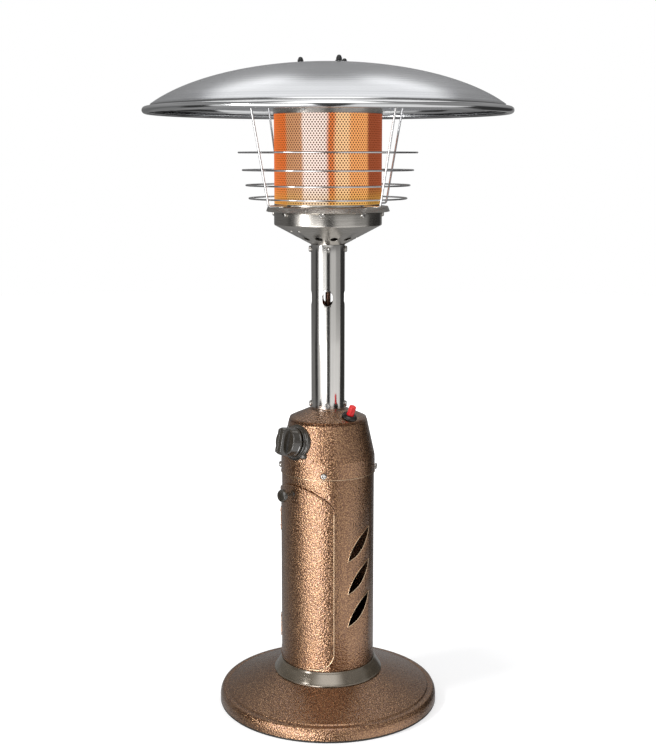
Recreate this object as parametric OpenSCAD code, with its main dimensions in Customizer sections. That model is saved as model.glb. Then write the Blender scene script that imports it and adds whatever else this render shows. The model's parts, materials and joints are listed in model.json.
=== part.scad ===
// Tabletop patio heater: weighted base, bottle housing with door, post, burner and reflector.
// Millimetres. Origin at the centre of the base on the table, +Z up, door and knob towards -Y.
// An angle round the heater is 0 at the door and grows towards +X.

/* [Base] */
// Outer radius of the base dish
base_r = 167.2; // [140:0.5:190]
// Height of the rubber edging under the rim
edging_h = 3; // [2:0.5:5]
// Height of the rim's shoulder above the table
rim_z = 22; // [16:0.5:28]
// Height of the dish's flat centre
dish_z = 47.5; // [40:0.5:60]
// Thickness of the dish sheet
dish_t = 2; // [1.5:0.1:2.5]
// Radius of the ballast weight
weight_r = 120; // [100:1:130]
// Thickness of the ballast weight
weight_h = 14; // [8:1:16]
// Radius of the bolt circle that joins weight, dish and housing
base_bolt_circle_r = 42; // [30:1:52]
// Radius of a base bolt's shank
base_bolt_r = 3; // [2.5:0.5:4]

/* [Bottle housing] */
// Outer radius of the housing shell
shell_r = 69.8; // [68:0.1:74]
// Thickness of the housing shell
shell_t = 1.2; // [1:0.1:1.6]
// Height of the seam between the housing shell and the control housing
seam_z = 362; // [350:1:380]
// Height of the shell's neck inside the control housing
neck_h = 16; // [14:1:18]
// Width of the moulded foot ring round the shell
foot_w = 12.8; // [9:0.1:18]
// Height of the moulded foot ring
foot_h = 19.2; // [15:0.1:21]
// Height of the deck plate under the seam
deck_drop = 5; // [4:0.5:6]

/* [Louvres] */
// Tip to tip length of a louvre
louvre_l = 64.4; // [40:0.2:66]
// Width of a louvre
louvre_w = 17.6; // [10:0.2:20]
// Slant of a louvre from level
louvre_slant = 47.6; // [30:0.2:60]
// Spacing of the louvres
louvre_pitch = 50.7; // [46:0.1:54]
// Height of the middle louvre
louvre_z = 210.2; // [190:0.2:225]
// Louvres on each side
louvre_n = 3; // [1:1:3]

/* [Door] */
// Half of the angle that the door covers
door_half = 55.5; // [50:0.5:58]
// Thickness of the door skin
door_t = 1.2; // [1:0.1:1.6]
// Height of the door's lower edge
door_low_z = 70; // [69:0.5:90]
// Height of the top of the door's arch
door_top_z = 350.5; // [335:0.5:352]
// Rise of the arch
door_rise = 38; // [30:1:45]
// Width of a lower corner
door_corner_w = 19; // [12:0.5:22]
// Height of a lower corner
door_corner_h = 25; // [15:0.5:30]
// Lap of the door over the edge of its opening
door_lap = 6; // [5:0.5:7]
// Depth of the door pull's centre below the arch top
pull_drop = 12; // [11.5:0.1:14]
// Radius of the door pull's disc
pull_r = 9.6; // [8:0.1:11]
// Reach of the door pull from the door
pull_reach = 24; // [17:0.5:26]
// Radius of the latch spindle
spindle_r = 2.5; // [2:0.1:3]
// Length of the latch tongue past the spindle's centre
tongue_l = 15; // [14:0.5:17]
// Width of the latch tongue
tongue_w = 6; // [5:0.5:7]

/* [Door hinges] */
// Angle of the hinge line past the door's edge
hinge_past = 4.5; // [4:0.5:6]
// Radius of the hinge pin
hinge_pin_r = 1.1; // [0.9:0.1:1.3]
// Radius of a hinge knuckle
knuckle_r = 2.1; // [1.9:0.1:2.4]
// Length of a hinge knuckle
knuckle_h = 12; // [8:1:16]
// Height of the lower hinge above the door's lower edge
hinge_in = 45; // [35:1:60]
// Spacing of the two hinges
hinge_pitch = 170; // [120:5:180]

/* [Control housing] */
// Step from the housing shell out to the control housing's skirt
skirt_step = 1.5; // [1.5:0.1:6]
// Thickness of the control housing's sheet
control_t = 1.2; // [1:0.1:1.2]
// Height of the skirt
skirt_h = 24; // [20:1:30]
// Outer radius at the top of the cone
cone_top_r = 58.6; // [56:0.2:61]
// Height of the cone
cone_h = 57; // [50:0.5:64]
// Height of the shoulder cap above the cone
cap_h = 15; // [14:0.5:20]
// Radius of the flat land that the post stands on
land_r = 28.5; // [28.3:0.1:31]
// Number of screws round a joint
joint_screws = 4; // [3:1:4]
// Angle of the first of them
screw_turn = 42; // [38:1:46]

/* [Gas knob and valve] */
// Height of the knob's axis above the seam
knob_up = 53; // [50:0.5:60]
// Radius of the knob's bezel
bezel_r = 26.5; // [26:0.1:29]
// Radius of the knob's skirt
knob_r = 22.5; // [18:0.1:23]
// Length of the knob in front of the bezel
knob_l = 28.4; // [22:0.2:30]
// Length of the knob's round drum
drum_l = 14.2; // [8:0.2:16]
// Width of the knob's grip bar
grip_w = 13; // [10:0.5:16]
// Travel of the knob when it is pushed in
knob_push = 3; // [2:0.5:4]
// Radius of the valve stem
stem_r = 3; // [2.5:0.1:3.5]
// Radius of the valve's turning plug
plug_r = 8; // [7:0.1:9]
// Length of the turning plug
plug_l = 30; // [26:1:34]
// Radius of the valve barrel
barrel_r = 14; // [13:0.5:15]

/* [Regulator] */
// Radius of the bottle thread in the regulator's inlet
inlet_r = 12.05; // [11.9:0.05:12.3]
// Depth of the bottle thread
inlet_depth = 15; // [12:0.5:18]
// Radius of the regulator's body
regulator_r = 20; // [18:0.5:24]
// Length of the regulator below the deck plate
regulator_l = 45; // [40:1:50]
// Radius of the regulator's threaded neck
neck_r = 8; // [7:0.5:9]

/* [Igniter] */
// Angle of the igniter round the heater
igniter_turn = 90; // [84:1:110]
// Distance of the igniter from the heater's axis
igniter_out = 46; // [43:0.5:47]
// Radius of the igniter's nut
igniter_nut_r = 11.5; // [10.5:0.1:12.5]
// Radius of the red button
button_r = 5.25; // [4:0.05:5.5]
// Height of the red button above the shoulder
button_up = 19.5; // [14:0.5:24]
// Travel of the red button
button_travel = 4; // [3:0.5:5]
// Length of the igniter's barrel below the shoulder
piezo_l = 38; // [30:1:42]

/* [Post] */
// Outer radius of the post
post_r = 25; // [24.8:0.1:26]
// Thickness of the post's wall
post_t = 1.2; // [1:0.1:1.6]
// Length of the post
post_l = 244.7; // [200:0.1:300]
// Width of an oval hole in the post
oval_w = 15; // [8:0.5:18]
// Height of an oval hole in the post
oval_h = 21.4; // [18.5:0.1:26]
// Distance of the oval holes from the post's top
oval_drop = 78.3; // [50:0.1:90]
// Distance of a post screw from the post's end
post_screw_in = 6.6; // [6:0.1:9]
// Radius of the gas tube
gas_tube_r = 4; // [3:0.1:4.5]

/* [Burner] */
// Outer radius of the burner bowl
bowl_r = 78.9; // [77:0.1:82]
// Height of the bowl's cone
bowl_cone_h = 28.5; // [24:0.5:34]
// Height of the bowl's straight wall
bowl_wall_h = 25.5; // [23:0.5:30]
// Thickness of the bowl's sheet
bowl_t = 1.2; // [1:0.1:1.6]
// Number of air vents round the bowl's cone
vent_n = 12; // [8:1:12]
// Radius of an air vent
vent_r = 5.5; // [3:0.1:6.5]
// Distance of the air vents from the axis
vent_out = 42.5; // [38:0.5:50]
// Outer radius of the guard plate's skirt
plate_r = 90.4; // [87:0.1:94]
// Height of the guard plate's skirt
plate_skirt_h = 7; // [5:0.5:9]
// Number of screws round the bowl
bowl_screw_n = 8; // [4:1:8]
// Radius of the burner drum
drum_r = 34; // [28:1:40]
// Height of the burner drum
drum_h = 22; // [16:1:28]
// Number of flame ports round the drum
port_n = 24; // [12:1:30]

/* [Emitter] */
// Outer radius of the emitter screen
screen_r = 78.3; // [76:0.1:82]
// Height of the emitter screen
screen_h = 138.5; // [120:0.5:150]
// Thickness of the emitter screen
screen_t = 0.8; // [0.6:0.1:1.2]
// Height of the screen cap's rim
cap_rim_h = 8.7; // [6:0.1:12]

/* [Reflector] */
// Outer radius of the reflector
reflector_r = 266.5; // [230:0.5:300]
// Height of the dome above its rolled rim
dome_h = 60; // [50:0.5:75]
// Thickness of the reflector's sheet
reflector_t = 1.2; // [1:0.1:1.6]
// Radius of the rolled rim
roll_r = 5; // [4:0.1:6]
// Gap from the screen cap to the dome's underside
stand_off = 63.1; // [50:0.1:80]
// Radius of the circle of the three studs
stud_circle_r = 39.8; // [34:0.2:46]
// Radius of a stud
stud_r = 2.5; // [2:0.1:3]
// Angle of the first stud
stud_turn = 70; // [60:1:80]

/* [Wire guard] */
// Radius of the wires of the guard rings
ring_wire_r = 1.25; // [1:0.05:1.5]
// Radius of the wires of the guard stays
stay_wire_r = 1.5; // [1.2:0.05:2]
// Distance of a stay's heel from the axis
heel_r = 115.4; // [110:0.1:122]
// Distance of a stay's upper end from the axis
stay_top_r = 157; // [145:0.5:170]
// Height of the lowest ring above the stays' feet
ring_low = 9.5; // [6:0.1:14]
// Gap from the lowest ring to the next
ring_gap = 18.8; // [14:0.1:21]
// Growth of the gap from one ring to the next
ring_growth = 1.155; // [1:0.005:1.2]

/* [Clearances] */
// Gap where one piece rests on or beside another
seat = 0.3; // [0.2:0.05:0.35]
// Gap round a turning or sliding shaft
run = 0.05; // [0.03:0.01:0.08]
// Gap round a fixed screw or bolt in its hole
screw_gap = 0.2; // [0.15:0.05:0.3]

/* [Hidden] */
$fn = 64;
// Overlap that makes two shapes of one piece a single solid
bond = 0.1;
elbow_fullness = 1.05;

// Unit vector along v
function unit(v) = v / norm(v);
// Normal on the right of the way from a to b
function right_of(a, b) = let (d = unit(b - a)) [d[1], -d[0]];
// Point i of an outline, moved by t to its right
function inner_point(p, i, t) =
    let (
        last = len(p) - 1,
        before = i > 0 ? right_of(p[i - 1], p[i]) : right_of(p[0], p[1]),
        after = i < last ? right_of(p[i], p[i + 1]) : before,
        mid = unit(before + after),
        q = p[i] + mid * t / (mid * after)
    ) [max(0, q[0]), q[1]];
// Closed outline of a sheet of thickness t that lies on the right of p
function sheet_outline(p, t) =
    concat(p, [for (i = [len(p) - 1:-1:0]) inner_point(p, i, t)]);
// Points of an arc round c, from angle a to angle b
function arc_points(c, r, a, b, steps) =
    [for (i = [0:steps]) let (w = a + (b - a) * i / steps) c + r * [cos(w), sin(w)]];

// Base heights
cover_z = edging_h + seat;
cover_t = 1.5;
weight_z = cover_z + cover_t + seat;
rim_round = 5;
edging_w = 6;
base_bolt_n = 4;
base_bolt_head_h = 2;
base_nut_h = 5;
bolt_past = 1;
hub_margin = 12;
floor_z = dish_z + seat;
floor_t = 2;
floor_lip_h = 12;
// Housing heights and radii
shell_in_r = shell_r - shell_t;
foot_r = shell_r + seat + foot_w;
shell_low_z = dish_z + seat;
shell_top_z = seam_z + neck_h;
joint_screw_z = seam_z + neck_h / 2;
// Screws: shank radius, then radius and height of the head
joint_screw_r = 2.4;
joint_head = [4.9, 3.1];
deck_z = seam_z - deck_drop;
deck_t = 1.2;
deck_lip_r = shell_in_r - seat;
deck_hole_r = neck_r + seat;
// Door
door_in_r = shell_r + seat;
door_out_r = door_in_r + door_t;
door_half_w = door_out_r * sin(door_half);
pull_z = door_top_z - pull_drop;
tongue_t = 1.6;
// The flat tongue passes the curved shell with its tip when it turns
tongue_out_r = sqrt(pow(shell_in_r - 2 * seat, 2) - pow(tongue_l, 2));
latch_nut_h = 2.4;
// Hinges
hinge_turn = -(door_half + hinge_past);
hinge_r = door_in_r + knuckle_r + seat;
leaf_t = 1.2;
leaf_reach = 9;
leaf_gap = 1.5;
rivet_low_r = 2.2;
rivet_top_r = 1.4;
rivet_h = 1;
// Control housing
skirt_r = shell_r + skirt_step;
cone_low_z = seam_z + skirt_h;
cone_top_z = cone_low_z + cone_h;
cap_low_z = cone_top_z + seat;
cap_top_z = cap_low_z + cap_h;
cone_tilt = atan((skirt_r - cone_top_r) / cone_h);
socket_r = post_r - post_t - seat;
socket_t = 2;
socket_up = 24;
socket_down = 10;
flange_t = 1.5;
socket_flange_r = land_r - 1;
cap_edge_r = cone_top_r - 0.6;
cap_break_r = cap_edge_r - 2;
cap_break_z = cap_top_z - 12.3;
cap_slope = atan((cap_top_z - cap_break_z) / (cap_break_r - land_r));
// Knob and valve, along the knob's axis: 0 at the housing's skin, positive outwards
knob_z = seam_z + knob_up;
knob_out = skirt_r - (knob_z - cone_low_z) * tan(cone_tilt);
bezel_face = 1;
bezel_boss_h = 4;
bezel_boss_r = knob_r + 0.5;
bezel_depth = 16;
bezel_hole_r = stem_r + 3;
bezel_screw_r = 1.4;
bezel_head = [3, 1.8];
bezel_screw_out = bezel_r + 0.5;
bezel_screw_turn = -42;
bezel_ear_r = 4;
boss_face = bezel_face + bezel_boss_h;
knob_back = boss_face + knob_push + seat;
knob_face = boss_face + knob_l;
drum_face = knob_back + drum_l;
stem_out = drum_face - 1;
bonnet_face = -18;
bonnet_t = 3;
plug_face = bonnet_face - bonnet_t - seat;
plug_end = plug_face - plug_l;
stem_in = plug_face - 14;
barrel_end = plug_end - 28;
// Where the knob's axis meets the heater's axis
axis_z = knob_z - knob_out * tan(cone_tilt);
outlet_r = gas_tube_r + 4;
outlet_z = axis_z + barrel_r + 12;
gas_way_r = 2;
tube_seat_h = 8;
// Regulator
regulator_low_z = deck_z - regulator_l;
inlet_collar_r = inlet_r + 4;
inlet_top_z = regulator_low_z + inlet_depth;
neck_top_z = deck_z + 28;
regulator_nut_r = neck_r + 6;
regulator_nut_h = 7;
regulator_nut_z = deck_z + deck_t + seat;
boss_r = neck_r + 4;
boss_low_z = regulator_nut_z + regulator_nut_h + seat;
// Igniter, along its own axis: 0 at the shoulder's skin, positive outwards
igniter_z = cap_top_z - (igniter_out - land_r) * tan(cap_slope);
collar_r = button_r + 2.75;
collar_up = 3;
nut_up = 5.5;
barrel_flange_r = collar_r + 0.8;
button_in = -9;
bore_in = button_in - button_travel - 1;
// Post
post_low_z = cap_top_z + seat;
post_top_z = post_low_z + post_l;
oval_z = post_top_z - oval_drop;
post_screw_turn = screw_turn + 3;
post_hole_n = 4;
lead_r = 1.2;
lead_out = 17;
gas_tube_t = 1.1;
// Burner
bowl_neck_r = socket_r;
bowl_neck_h = 24;
bowl_low_z = post_top_z + seat;
bowl_corner_z = bowl_low_z + bowl_cone_h;
bowl_top_z = bowl_corner_z + bowl_wall_h;
bowl_screw_z = bowl_top_z - 8.5;
bowl_screw_turn = 41;
lead_bend_z = bowl_low_z + 6.5;
bowl_screw_r = 2.4;
bowl_head = [4.9, 2.9];
vent_turn = 29;
plate_t = 1.2;
plate_low_z = bowl_top_z + seat;
plate_top_z = plate_low_z + plate_t;
plate_edge_r = plate_r - 2.4;
plate_hole_r = 66;
head_t = 1.5;
head_top_z = plate_low_z - 3;
head_lip_r = bowl_r - bowl_t - seat;
head_lip_h = 12;
mixer_r = 14;
mixer_t = 1.5;
mixer_top_z = head_top_z - head_t - seat;
mixer_low_z = bowl_low_z - 3;
gas_top_z = mixer_low_z - 8;
drum_top_z = head_top_z + drum_h;
drum_wall = 1.5;
port_r = 2;
electrode_out = 52;
electrode_r = 3;
electrode_h = 28;
electrode_tip_r = 1;
electrode_tip_h = 10;
electrode_low_z = head_top_z - head_t - 9;
thermocouple_turn = igniter_turn + 140;
thermocouple_out = 50;
// Emitter and reflector
screen_low_z = plate_top_z + seat;
screen_top_z = screen_low_z + screen_h;
cap_t = 1;
rim_r = screen_r + seat + cap_t;
cap_sheet_z = screen_top_z + seat;
cap_plate_z = cap_sheet_z + cap_t;
screen_screw_z = cap_plate_z - cap_rim_h / 2;
screen_screw_r = 0.8;
screen_head = [1.7, 1.1];
screen_screw_pair = 18.5;
screen_screw_turn = 40.5;
dome_r = reflector_r - 12;
dome_top_z = cap_plate_z + stand_off + reflector_t;
dome_low_z = dome_top_z - dome_h;
roll_c = [reflector_r - roll_r, dome_low_z - 8.5];
// The dome is the crown of an ellipse, this much wider than the dome itself
dome_fullness = 1.147;
dome_a = dome_r * dome_fullness;
dome_b = dome_h / (1 - sqrt(1 - pow(1 / dome_fullness, 2)));
function dome_z(r) = dome_top_z - dome_b * (1 - sqrt(1 - pow(r / dome_a, 2)));
nut_af = 8;
nut_h = 4;
washer_r = 5.5;
washer_t = 1;
// Dome slope leaves this much more room under a nut's edge
nut_room = 0.6;
stud_low_z = cap_sheet_z - nut_h;
dome_nut_z = dome_z(stud_circle_r) + nut_room + washer_t + run;
stud_top_z = dome_nut_z + 4.35;
// Guard
foot_z = plate_top_z + seat + stay_wire_r;
foot_in_r = screen_r + seat + 3;
stay_top_z = dome_z(stay_top_r) - reflector_t - 2 * seat;
stay_turns = [1, 86, 177, 265];
stay_lean = (stay_top_r - heel_r) / (stay_top_z - foot_z);
ring_inset = (stay_wire_r + ring_wire_r) / cos(atan(stay_lean)) + run;
function ring_z(k) =
    foot_z + ring_low + (k > 1 ? ring_gap * sum_growth(k - 2) : 0);
function sum_growth(n) = n < 0 ? 0 : pow(ring_growth, n) + sum_growth(n - 1);
function ring_r(k) = heel_r + (ring_z(k) - foot_z) * stay_lean - ring_inset;

// Tube between two heights
module tube(outer, inner, z0, z1) {
    translate([0, 0, z0]) difference() {
        cylinder(r = outer, h = z1 - z0);
        translate([0, 0, -1]) cylinder(r = inner, h = z1 - z0 + 2);
    }
}

// Solid disc between two heights
module disc(r, z0, z1) {
    translate([0, 0, z0]) cylinder(r = r, h = z1 - z0);
}

// Places children at an angle, a distance out and a height, still facing up
module at(turn, out, z) {
    rotate([0, 0, turn]) translate([0, -out, z]) children();
}

// Turns children so that their +Z points out of the heater and +Y points up
module outward() {
    rotate([90, 0, 0]) children();
}

// Repeats children evenly round the heater's axis
module around(n, turn) {
    for (i = [0:n - 1]) rotate([0, 0, turn + i * 360 / n]) children();
}

// Knob axis: origin on the housing's skin, +Z outwards
module on_knob_axis() {
    translate([0, -knob_out, knob_z]) rotate([90 - cone_tilt, 0, 0]) children();
}

// Igniter axis: origin on the shoulder, +Z outwards
module on_igniter_axis() {
    at(igniter_turn, igniter_out, igniter_z) rotate([cap_slope, 0, 0]) children();
}

// Pan-head screw with a cross recess, head on z = 0 and shank downwards
module pan_screw(head, shank_r, shank_l) {
    head_r = head[0];
    head_h = head[1];
    recess_w = head_r * 0.28;
    difference() {
        union() {
            rotate_extrude() polygon([[0, 0], [head_r, 0], [head_r, head_h * 0.4],
                [head_r * 0.8, head_h * 0.85], [head_r * 0.4, head_h], [0, head_h]]);
            translate([0, 0, -shank_l]) cylinder(r = shank_r, h = shank_l + bond);
        }
        for (w = [0, 90]) rotate([0, 0, w])
            translate([-head_r * 0.6, -recess_w / 2, head_h * 0.5]) cube([head_r * 1.2, recess_w, head_h]);
    }
}

// Hexagon nut on z = 0
module hex_nut(across, h, bore_r) {
    difference() {
        cylinder(r = across / sqrt(3), h = h, $fn = 6);
        translate([0, 0, -1]) cylinder(r = bore_r, h = h + 2);
    }
}

// Round wire through a list of points, a little fuller at its elbows
module wire(points, r) {
    for (i = [0:len(points) - 2]) {
        a = points[i];
        d = points[i + 1] - a;
        translate(a) rotate([0, acos(d[2] / norm(d)), atan2(d[1], d[0])])
            cylinder(r = r, h = norm(d));
    }
    for (i = [1:len(points) - 2]) translate(points[i]) sphere(r = r * elbow_fullness);
}

// Leaf shape of a louvre, long side along X
module leaf(l, w) {
    r = (l * l / 4 + w * w / 4) / w;
    intersection() {
        translate([0, r - w / 2]) circle(r = r, $fn = 180);
        translate([0, w / 2 - r]) circle(r = r, $fn = 180);
    }
}

// Outline of the door seen from the front, drawn in by inset
module door_shape(inset) {
    a = door_half_w - inset;
    b = door_rise - inset;
    low = door_low_z + inset;
    cw = door_corner_w - inset / 2;
    ch = door_corner_h - inset / 2;
    arch = [for (w = [0:5:180]) [a * cos(w), door_top_z - door_rise + b * sin(w)]];
    left = [for (w = [180:10:270]) [cw - a + cw * cos(w), low + ch + ch * sin(w)]];
    right = [for (w = [270:10:360]) [a - cw + cw * cos(w), low + ch + ch * sin(w)]];
    polygon(concat(arch, left, right));
}

// Block through the front of the heater with the door's outline
module door_block(inset) {
    translate([0, -shell_r / 2, 0]) outward() linear_extrude(shell_r) door_shape(inset);
}

module base_edging() {
    color("#1d1b1a") rotate_extrude() polygon([[base_r - edging_w, 0], [base_r - 0.6, 0],
        [base_r, 0.8], [base_r, edging_h], [base_r - edging_w, edging_h]]);
}

module base_dish() {
    skin = concat([[0, dish_z], [foot_r + 1, dish_z], [base_r - rim_round - 4, rim_z]],
        arc_points([base_r - rim_round - 1, rim_z - rim_round + 0.5], rim_round, 90, 15, 6),
        [[base_r, cover_z + 3], [base_r, cover_z]]);
    color("#7a5440") difference() {
        rotate_extrude() polygon(sheet_outline(skin, dish_t));
        base_bolt_holes(base_bolt_r + screw_gap);
    }
}

module base_bolt_holes(r) {
    around(base_bolt_n, 45) translate([0, -base_bolt_circle_r, 0]) cylinder(r = r, h = 2 * dish_z);
}

module base_cover() {
    color("#26221f") difference() {
        disc(base_r - dish_t - seat, cover_z, cover_z + cover_t);
        base_bolt_holes(base_bolt_r + screw_gap);
    }
}

module base_weight() {
    color("#55504b") difference() {
        union() {
            disc(weight_r, weight_z, weight_z + weight_h);
            disc(base_bolt_circle_r + hub_margin, weight_z, dish_z - dish_t - seat);
        }
        base_bolt_holes(base_bolt_r + screw_gap);
    }
}

module base_bolts() {
    color("#8d8d90") around(base_bolt_n, 45) translate([0, -base_bolt_circle_r, 0]) {
        disc(base_bolt_r * 2, cover_z - seat - base_bolt_head_h, cover_z - seat);
        disc(base_bolt_r, cover_z - seat - bond, floor_z + floor_t + seat + base_nut_h + bolt_past);
    }
}

module base_nuts() {
    color("#8d8d90") around(base_bolt_n, 45) translate([0, -base_bolt_circle_r, floor_z + floor_t + seat])
        hex_nut(base_bolt_r * 10 / 3, base_nut_h, base_bolt_r + run);
}

module housing_floor() {
    color("#2a2624") difference() {
        union() {
            disc(shell_in_r - seat, floor_z, floor_z + floor_t);
            tube(shell_in_r - seat, shell_in_r - seat - floor_t, floor_z + floor_t - bond,
                floor_z + floor_lip_h);
        }
        base_bolt_holes(base_bolt_r + screw_gap);
    }
}

module foot_ring() {
    low = dish_z + seat;
    in_r = shell_r + seat;
    slope_r = foot_r - in_r;
    color("#4a4038") rotate_extrude() polygon([[in_r, low + foot_h], [in_r + 1.5, low + foot_h],
        [in_r + slope_r * 0.3, low + foot_h * 0.84], [in_r + slope_r * 0.55, low + foot_h * 0.6],
        [in_r + slope_r * 0.8, low + foot_h * 0.36], [foot_r, low + foot_h * 0.2], [foot_r, low],
        [in_r, low]]);
}

module joint_screw_holes(z, n, turn, r, inner, outer) {
    around(n, turn) translate([0, -inner, z]) outward() cylinder(r = r, h = outer - inner);
}

module housing_shell() {
    color("#7a5036") difference() {
        tube(shell_r, shell_in_r, shell_low_z, shell_top_z);
        door_block(door_lap);
        for (side = [-1, 1], i = [0:louvre_n - 1])
            at(90 * side, 0, louvre_z + (i - (louvre_n - 1) / 2) * louvre_pitch) outward()
                rotate([0, 0, side * louvre_slant]) linear_extrude(shell_r + 5) leaf(louvre_l, louvre_w);
        joint_screw_holes(joint_screw_z, joint_screws, screw_turn, joint_screw_r + screw_gap,
            shell_in_r - 5, shell_r + 5);
    }
}

module deck_plate() {
    lip_in_r = deck_lip_r - deck_t;
    color("#6f6a66") difference() {
        union() {
            disc(deck_lip_r, deck_z, deck_z + deck_t);
            tube(deck_lip_r, lip_in_r, deck_z + deck_t - bond, shell_top_z - 1);
        }
        disc(deck_hole_r, deck_z - 1, deck_z + deck_t + 1);
        joint_screw_holes(joint_screw_z, joint_screws, screw_turn, joint_screw_r + screw_gap,
            lip_in_r - 5, deck_lip_r + 5);
    }
}

module access_door() {
    color("#83573a") difference() {
        intersection() {
            rotate([0, 0, -door_half - 90]) rotate_extrude(angle = 2 * door_half, $fn = 180)
                translate([door_in_r, door_low_z]) square([door_t, door_top_z - door_low_z]);
            door_block(-bond);
        }
        at(0, door_in_r - 5, pull_z) outward() cylinder(r = spindle_r + run, h = 10);
    }
}

module latch_pull() {
    boss_r = spindle_r + 2.5;
    neck_l = pull_reach - 9;
    at_face = door_out_r + seat;
    color("#2b2522") at(0, at_face, pull_z) outward() {
        rotate_extrude() polygon([[0, 0], [boss_r, 0], [boss_r - 1, 2], [boss_r - 1, neck_l],
            [pull_r - 1.2, neck_l + 1], [pull_r, neck_l + 2.5], [pull_r, neck_l + 5],
            [pull_r - 1.5, neck_l + 7], [pull_r * 0.5, neck_l + 8.6], [0, neck_l + 9 - seat]]);
        translate([0, 0, tongue_out_r - tongue_t - latch_nut_h - 1 - at_face])
            cylinder(r = spindle_r, h = at_face - tongue_out_r + tongue_t + latch_nut_h + 1 + bond);
    }
}

module latch_tongue() {
    color("#9a9a9c") at(0, tongue_out_r - tongue_t, pull_z) outward() difference() {
        union() {
            cylinder(r = tongue_w / 2 + 1, h = tongue_t);
            translate([0, -tongue_w / 2, 0]) cube([tongue_l, tongue_w, tongue_t]);
        }
        translate([0, 0, -1]) cylinder(r = spindle_r + run, h = tongue_t + 2);
    }
}

module latch_nut() {
    color("#9a9a9c") at(0, tongue_out_r - tongue_t - seat - latch_nut_h, pull_z) outward()
        hex_nut(spindle_r * 3.2, latch_nut_h, spindle_r + run);
}

// Each hinge has three knuckles: the middle one is the door's
module at_hinges() {
    for (i = [0, 1]) translate([0, 0, door_low_z + hinge_in + i * hinge_pitch]) children();
}

module knuckle(level) {
    pitch = knuckle_h + seat;
    at(hinge_turn, hinge_r, level * pitch - knuckle_h / 2) cylinder(r = knuckle_r, h = knuckle_h);
}

// Curved leaf of sheet from one angle to another
module leaf_sheet(inner, from, to, h) {
    rotate([0, 0, from - 90]) translate([0, 0, -h / 2])
        rotate_extrude(angle = to - from, $fn = 180) translate([inner, 0]) square([leaf_t, h]);
}

module rivet() {
    translate([0, 0, -bond]) cylinder(r1 = rivet_low_r, r2 = rivet_top_r, h = rivet_h);
}

module hinge_fixed_leaves() {
    h = 3 * knuckle_h + 2 * seat;
    reach = leaf_reach + knuckle_r;
    color("#6b4a35") at_hinges() difference() {
        union() {
            leaf_sheet(shell_r + seat, hinge_turn - reach, hinge_turn - 0.5, h);
            for (level = [-1, 1]) knuckle(level);
            for (level = [-1, 1]) at(hinge_turn - reach / 2 - 1, shell_r + seat + leaf_t, level * h / 3)
                outward() rivet();
        }
        at(hinge_turn, hinge_r, -h) cylinder(r = hinge_pin_r + run, h = 2 * h);
        at(hinge_turn, hinge_r, -knuckle_h / 2 - seat)
            cylinder(r = knuckle_r + seat, h = knuckle_h + 2 * seat);
    }
}

module hinge_door_leaves() {
    from = hinge_turn + leaf_gap;
    h = knuckle_h - seat;
    tab_h = 3 * knuckle_h;
    in_r = door_out_r + seat;
    color("#6b4a35") at_hinges() difference() {
        union() {
            leaf_sheet(in_r, hinge_turn + hinge_past + 0.5, hinge_turn + hinge_past + leaf_reach, tab_h);
            leaf_sheet(in_r, hinge_turn, hinge_turn + hinge_past + 1, h);
            at(hinge_turn, hinge_r, -h / 2) cylinder(r = knuckle_r, h = h);
            for (level = [-1, 1]) at(from + hinge_past + leaf_reach / 2 - 1, in_r + leaf_t, level * h)
                outward() rivet();
        }
        at(hinge_turn, hinge_r, -tab_h) cylinder(r = hinge_pin_r + run, h = 2 * tab_h);
    }
}

module hinge_pins() {
    l = 3 * knuckle_h + 2 * seat + 1;
    color("#b8b8ba") at_hinges() at(hinge_turn, hinge_r, -l / 2) {
        cylinder(r = hinge_pin_r, h = l);
        translate([0, 0, l]) cylinder(r = knuckle_r - 0.4, h = 1);
    }
}

// Outline of the control housing's skin, from the cone's top down
function control_skin() = [[cone_top_r, cone_top_z], [skirt_r - 0.5, cone_low_z + 2],
    [skirt_r, cone_low_z - 2], [skirt_r, seam_z]];

// Solid of the control housing's outside, grown by g
module control_solid(g) {
    skin = control_skin();
    rotate_extrude($fn = 240)
        polygon(concat([[0, cone_top_z]], [for (p = skin) p + [g, 0]], [[0, seam_z]]));
}

module control_housing() {
    color("#7d523a") difference() {
        rotate_extrude() polygon(sheet_outline(control_skin(), control_t));
        joint_screw_holes(joint_screw_z, joint_screws, screw_turn, joint_screw_r + screw_gap,
            skirt_r - 6, skirt_r + 5);
        on_knob_axis() translate([0, 0, -10]) {
            cylinder(r = bezel_hole_r + 2, h = 20);
            bezel_screw_places() cylinder(r = bezel_screw_r + screw_gap, h = 20);
        }
    }
}

module shoulder_cap() {
    skin = [[socket_r + seat, cap_top_z], [land_r, cap_top_z], [cap_break_r, cap_break_z],
        [cap_edge_r - 0.6, cap_break_z - 0.9], [cap_edge_r, cap_break_z - 2], [cap_edge_r, cap_low_z]];
    spigot_r = cap_edge_r - control_t + bond;
    color("#7d523a") difference() {
        union() {
            rotate_extrude() polygon(sheet_outline(skin, control_t));
            tube(spigot_r, spigot_r - control_t, cap_low_z - 6, cap_low_z + 1.5);
        }
        on_igniter_axis() translate([0, 0, -10]) cylinder(r = collar_r + seat, h = 20);
        on_knob_axis() translate([0, 0, -12]) bezel_screw_places()
            cylinder(r = bezel_screw_r + screw_gap, h = 20);
    }
}

module housing_screws() {
    color("#c9c7c2") around(joint_screws, screw_turn) translate([0, -skirt_r - seat, joint_screw_z])
        outward() pan_screw(joint_head, joint_screw_r, skirt_r - deck_lip_r + 4);
}

module bezel_screw_places() {
    for (w = [0, 180]) rotate([0, 0, bezel_screw_turn + w]) translate([bezel_screw_out, 0, 0]) children();
}

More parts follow.
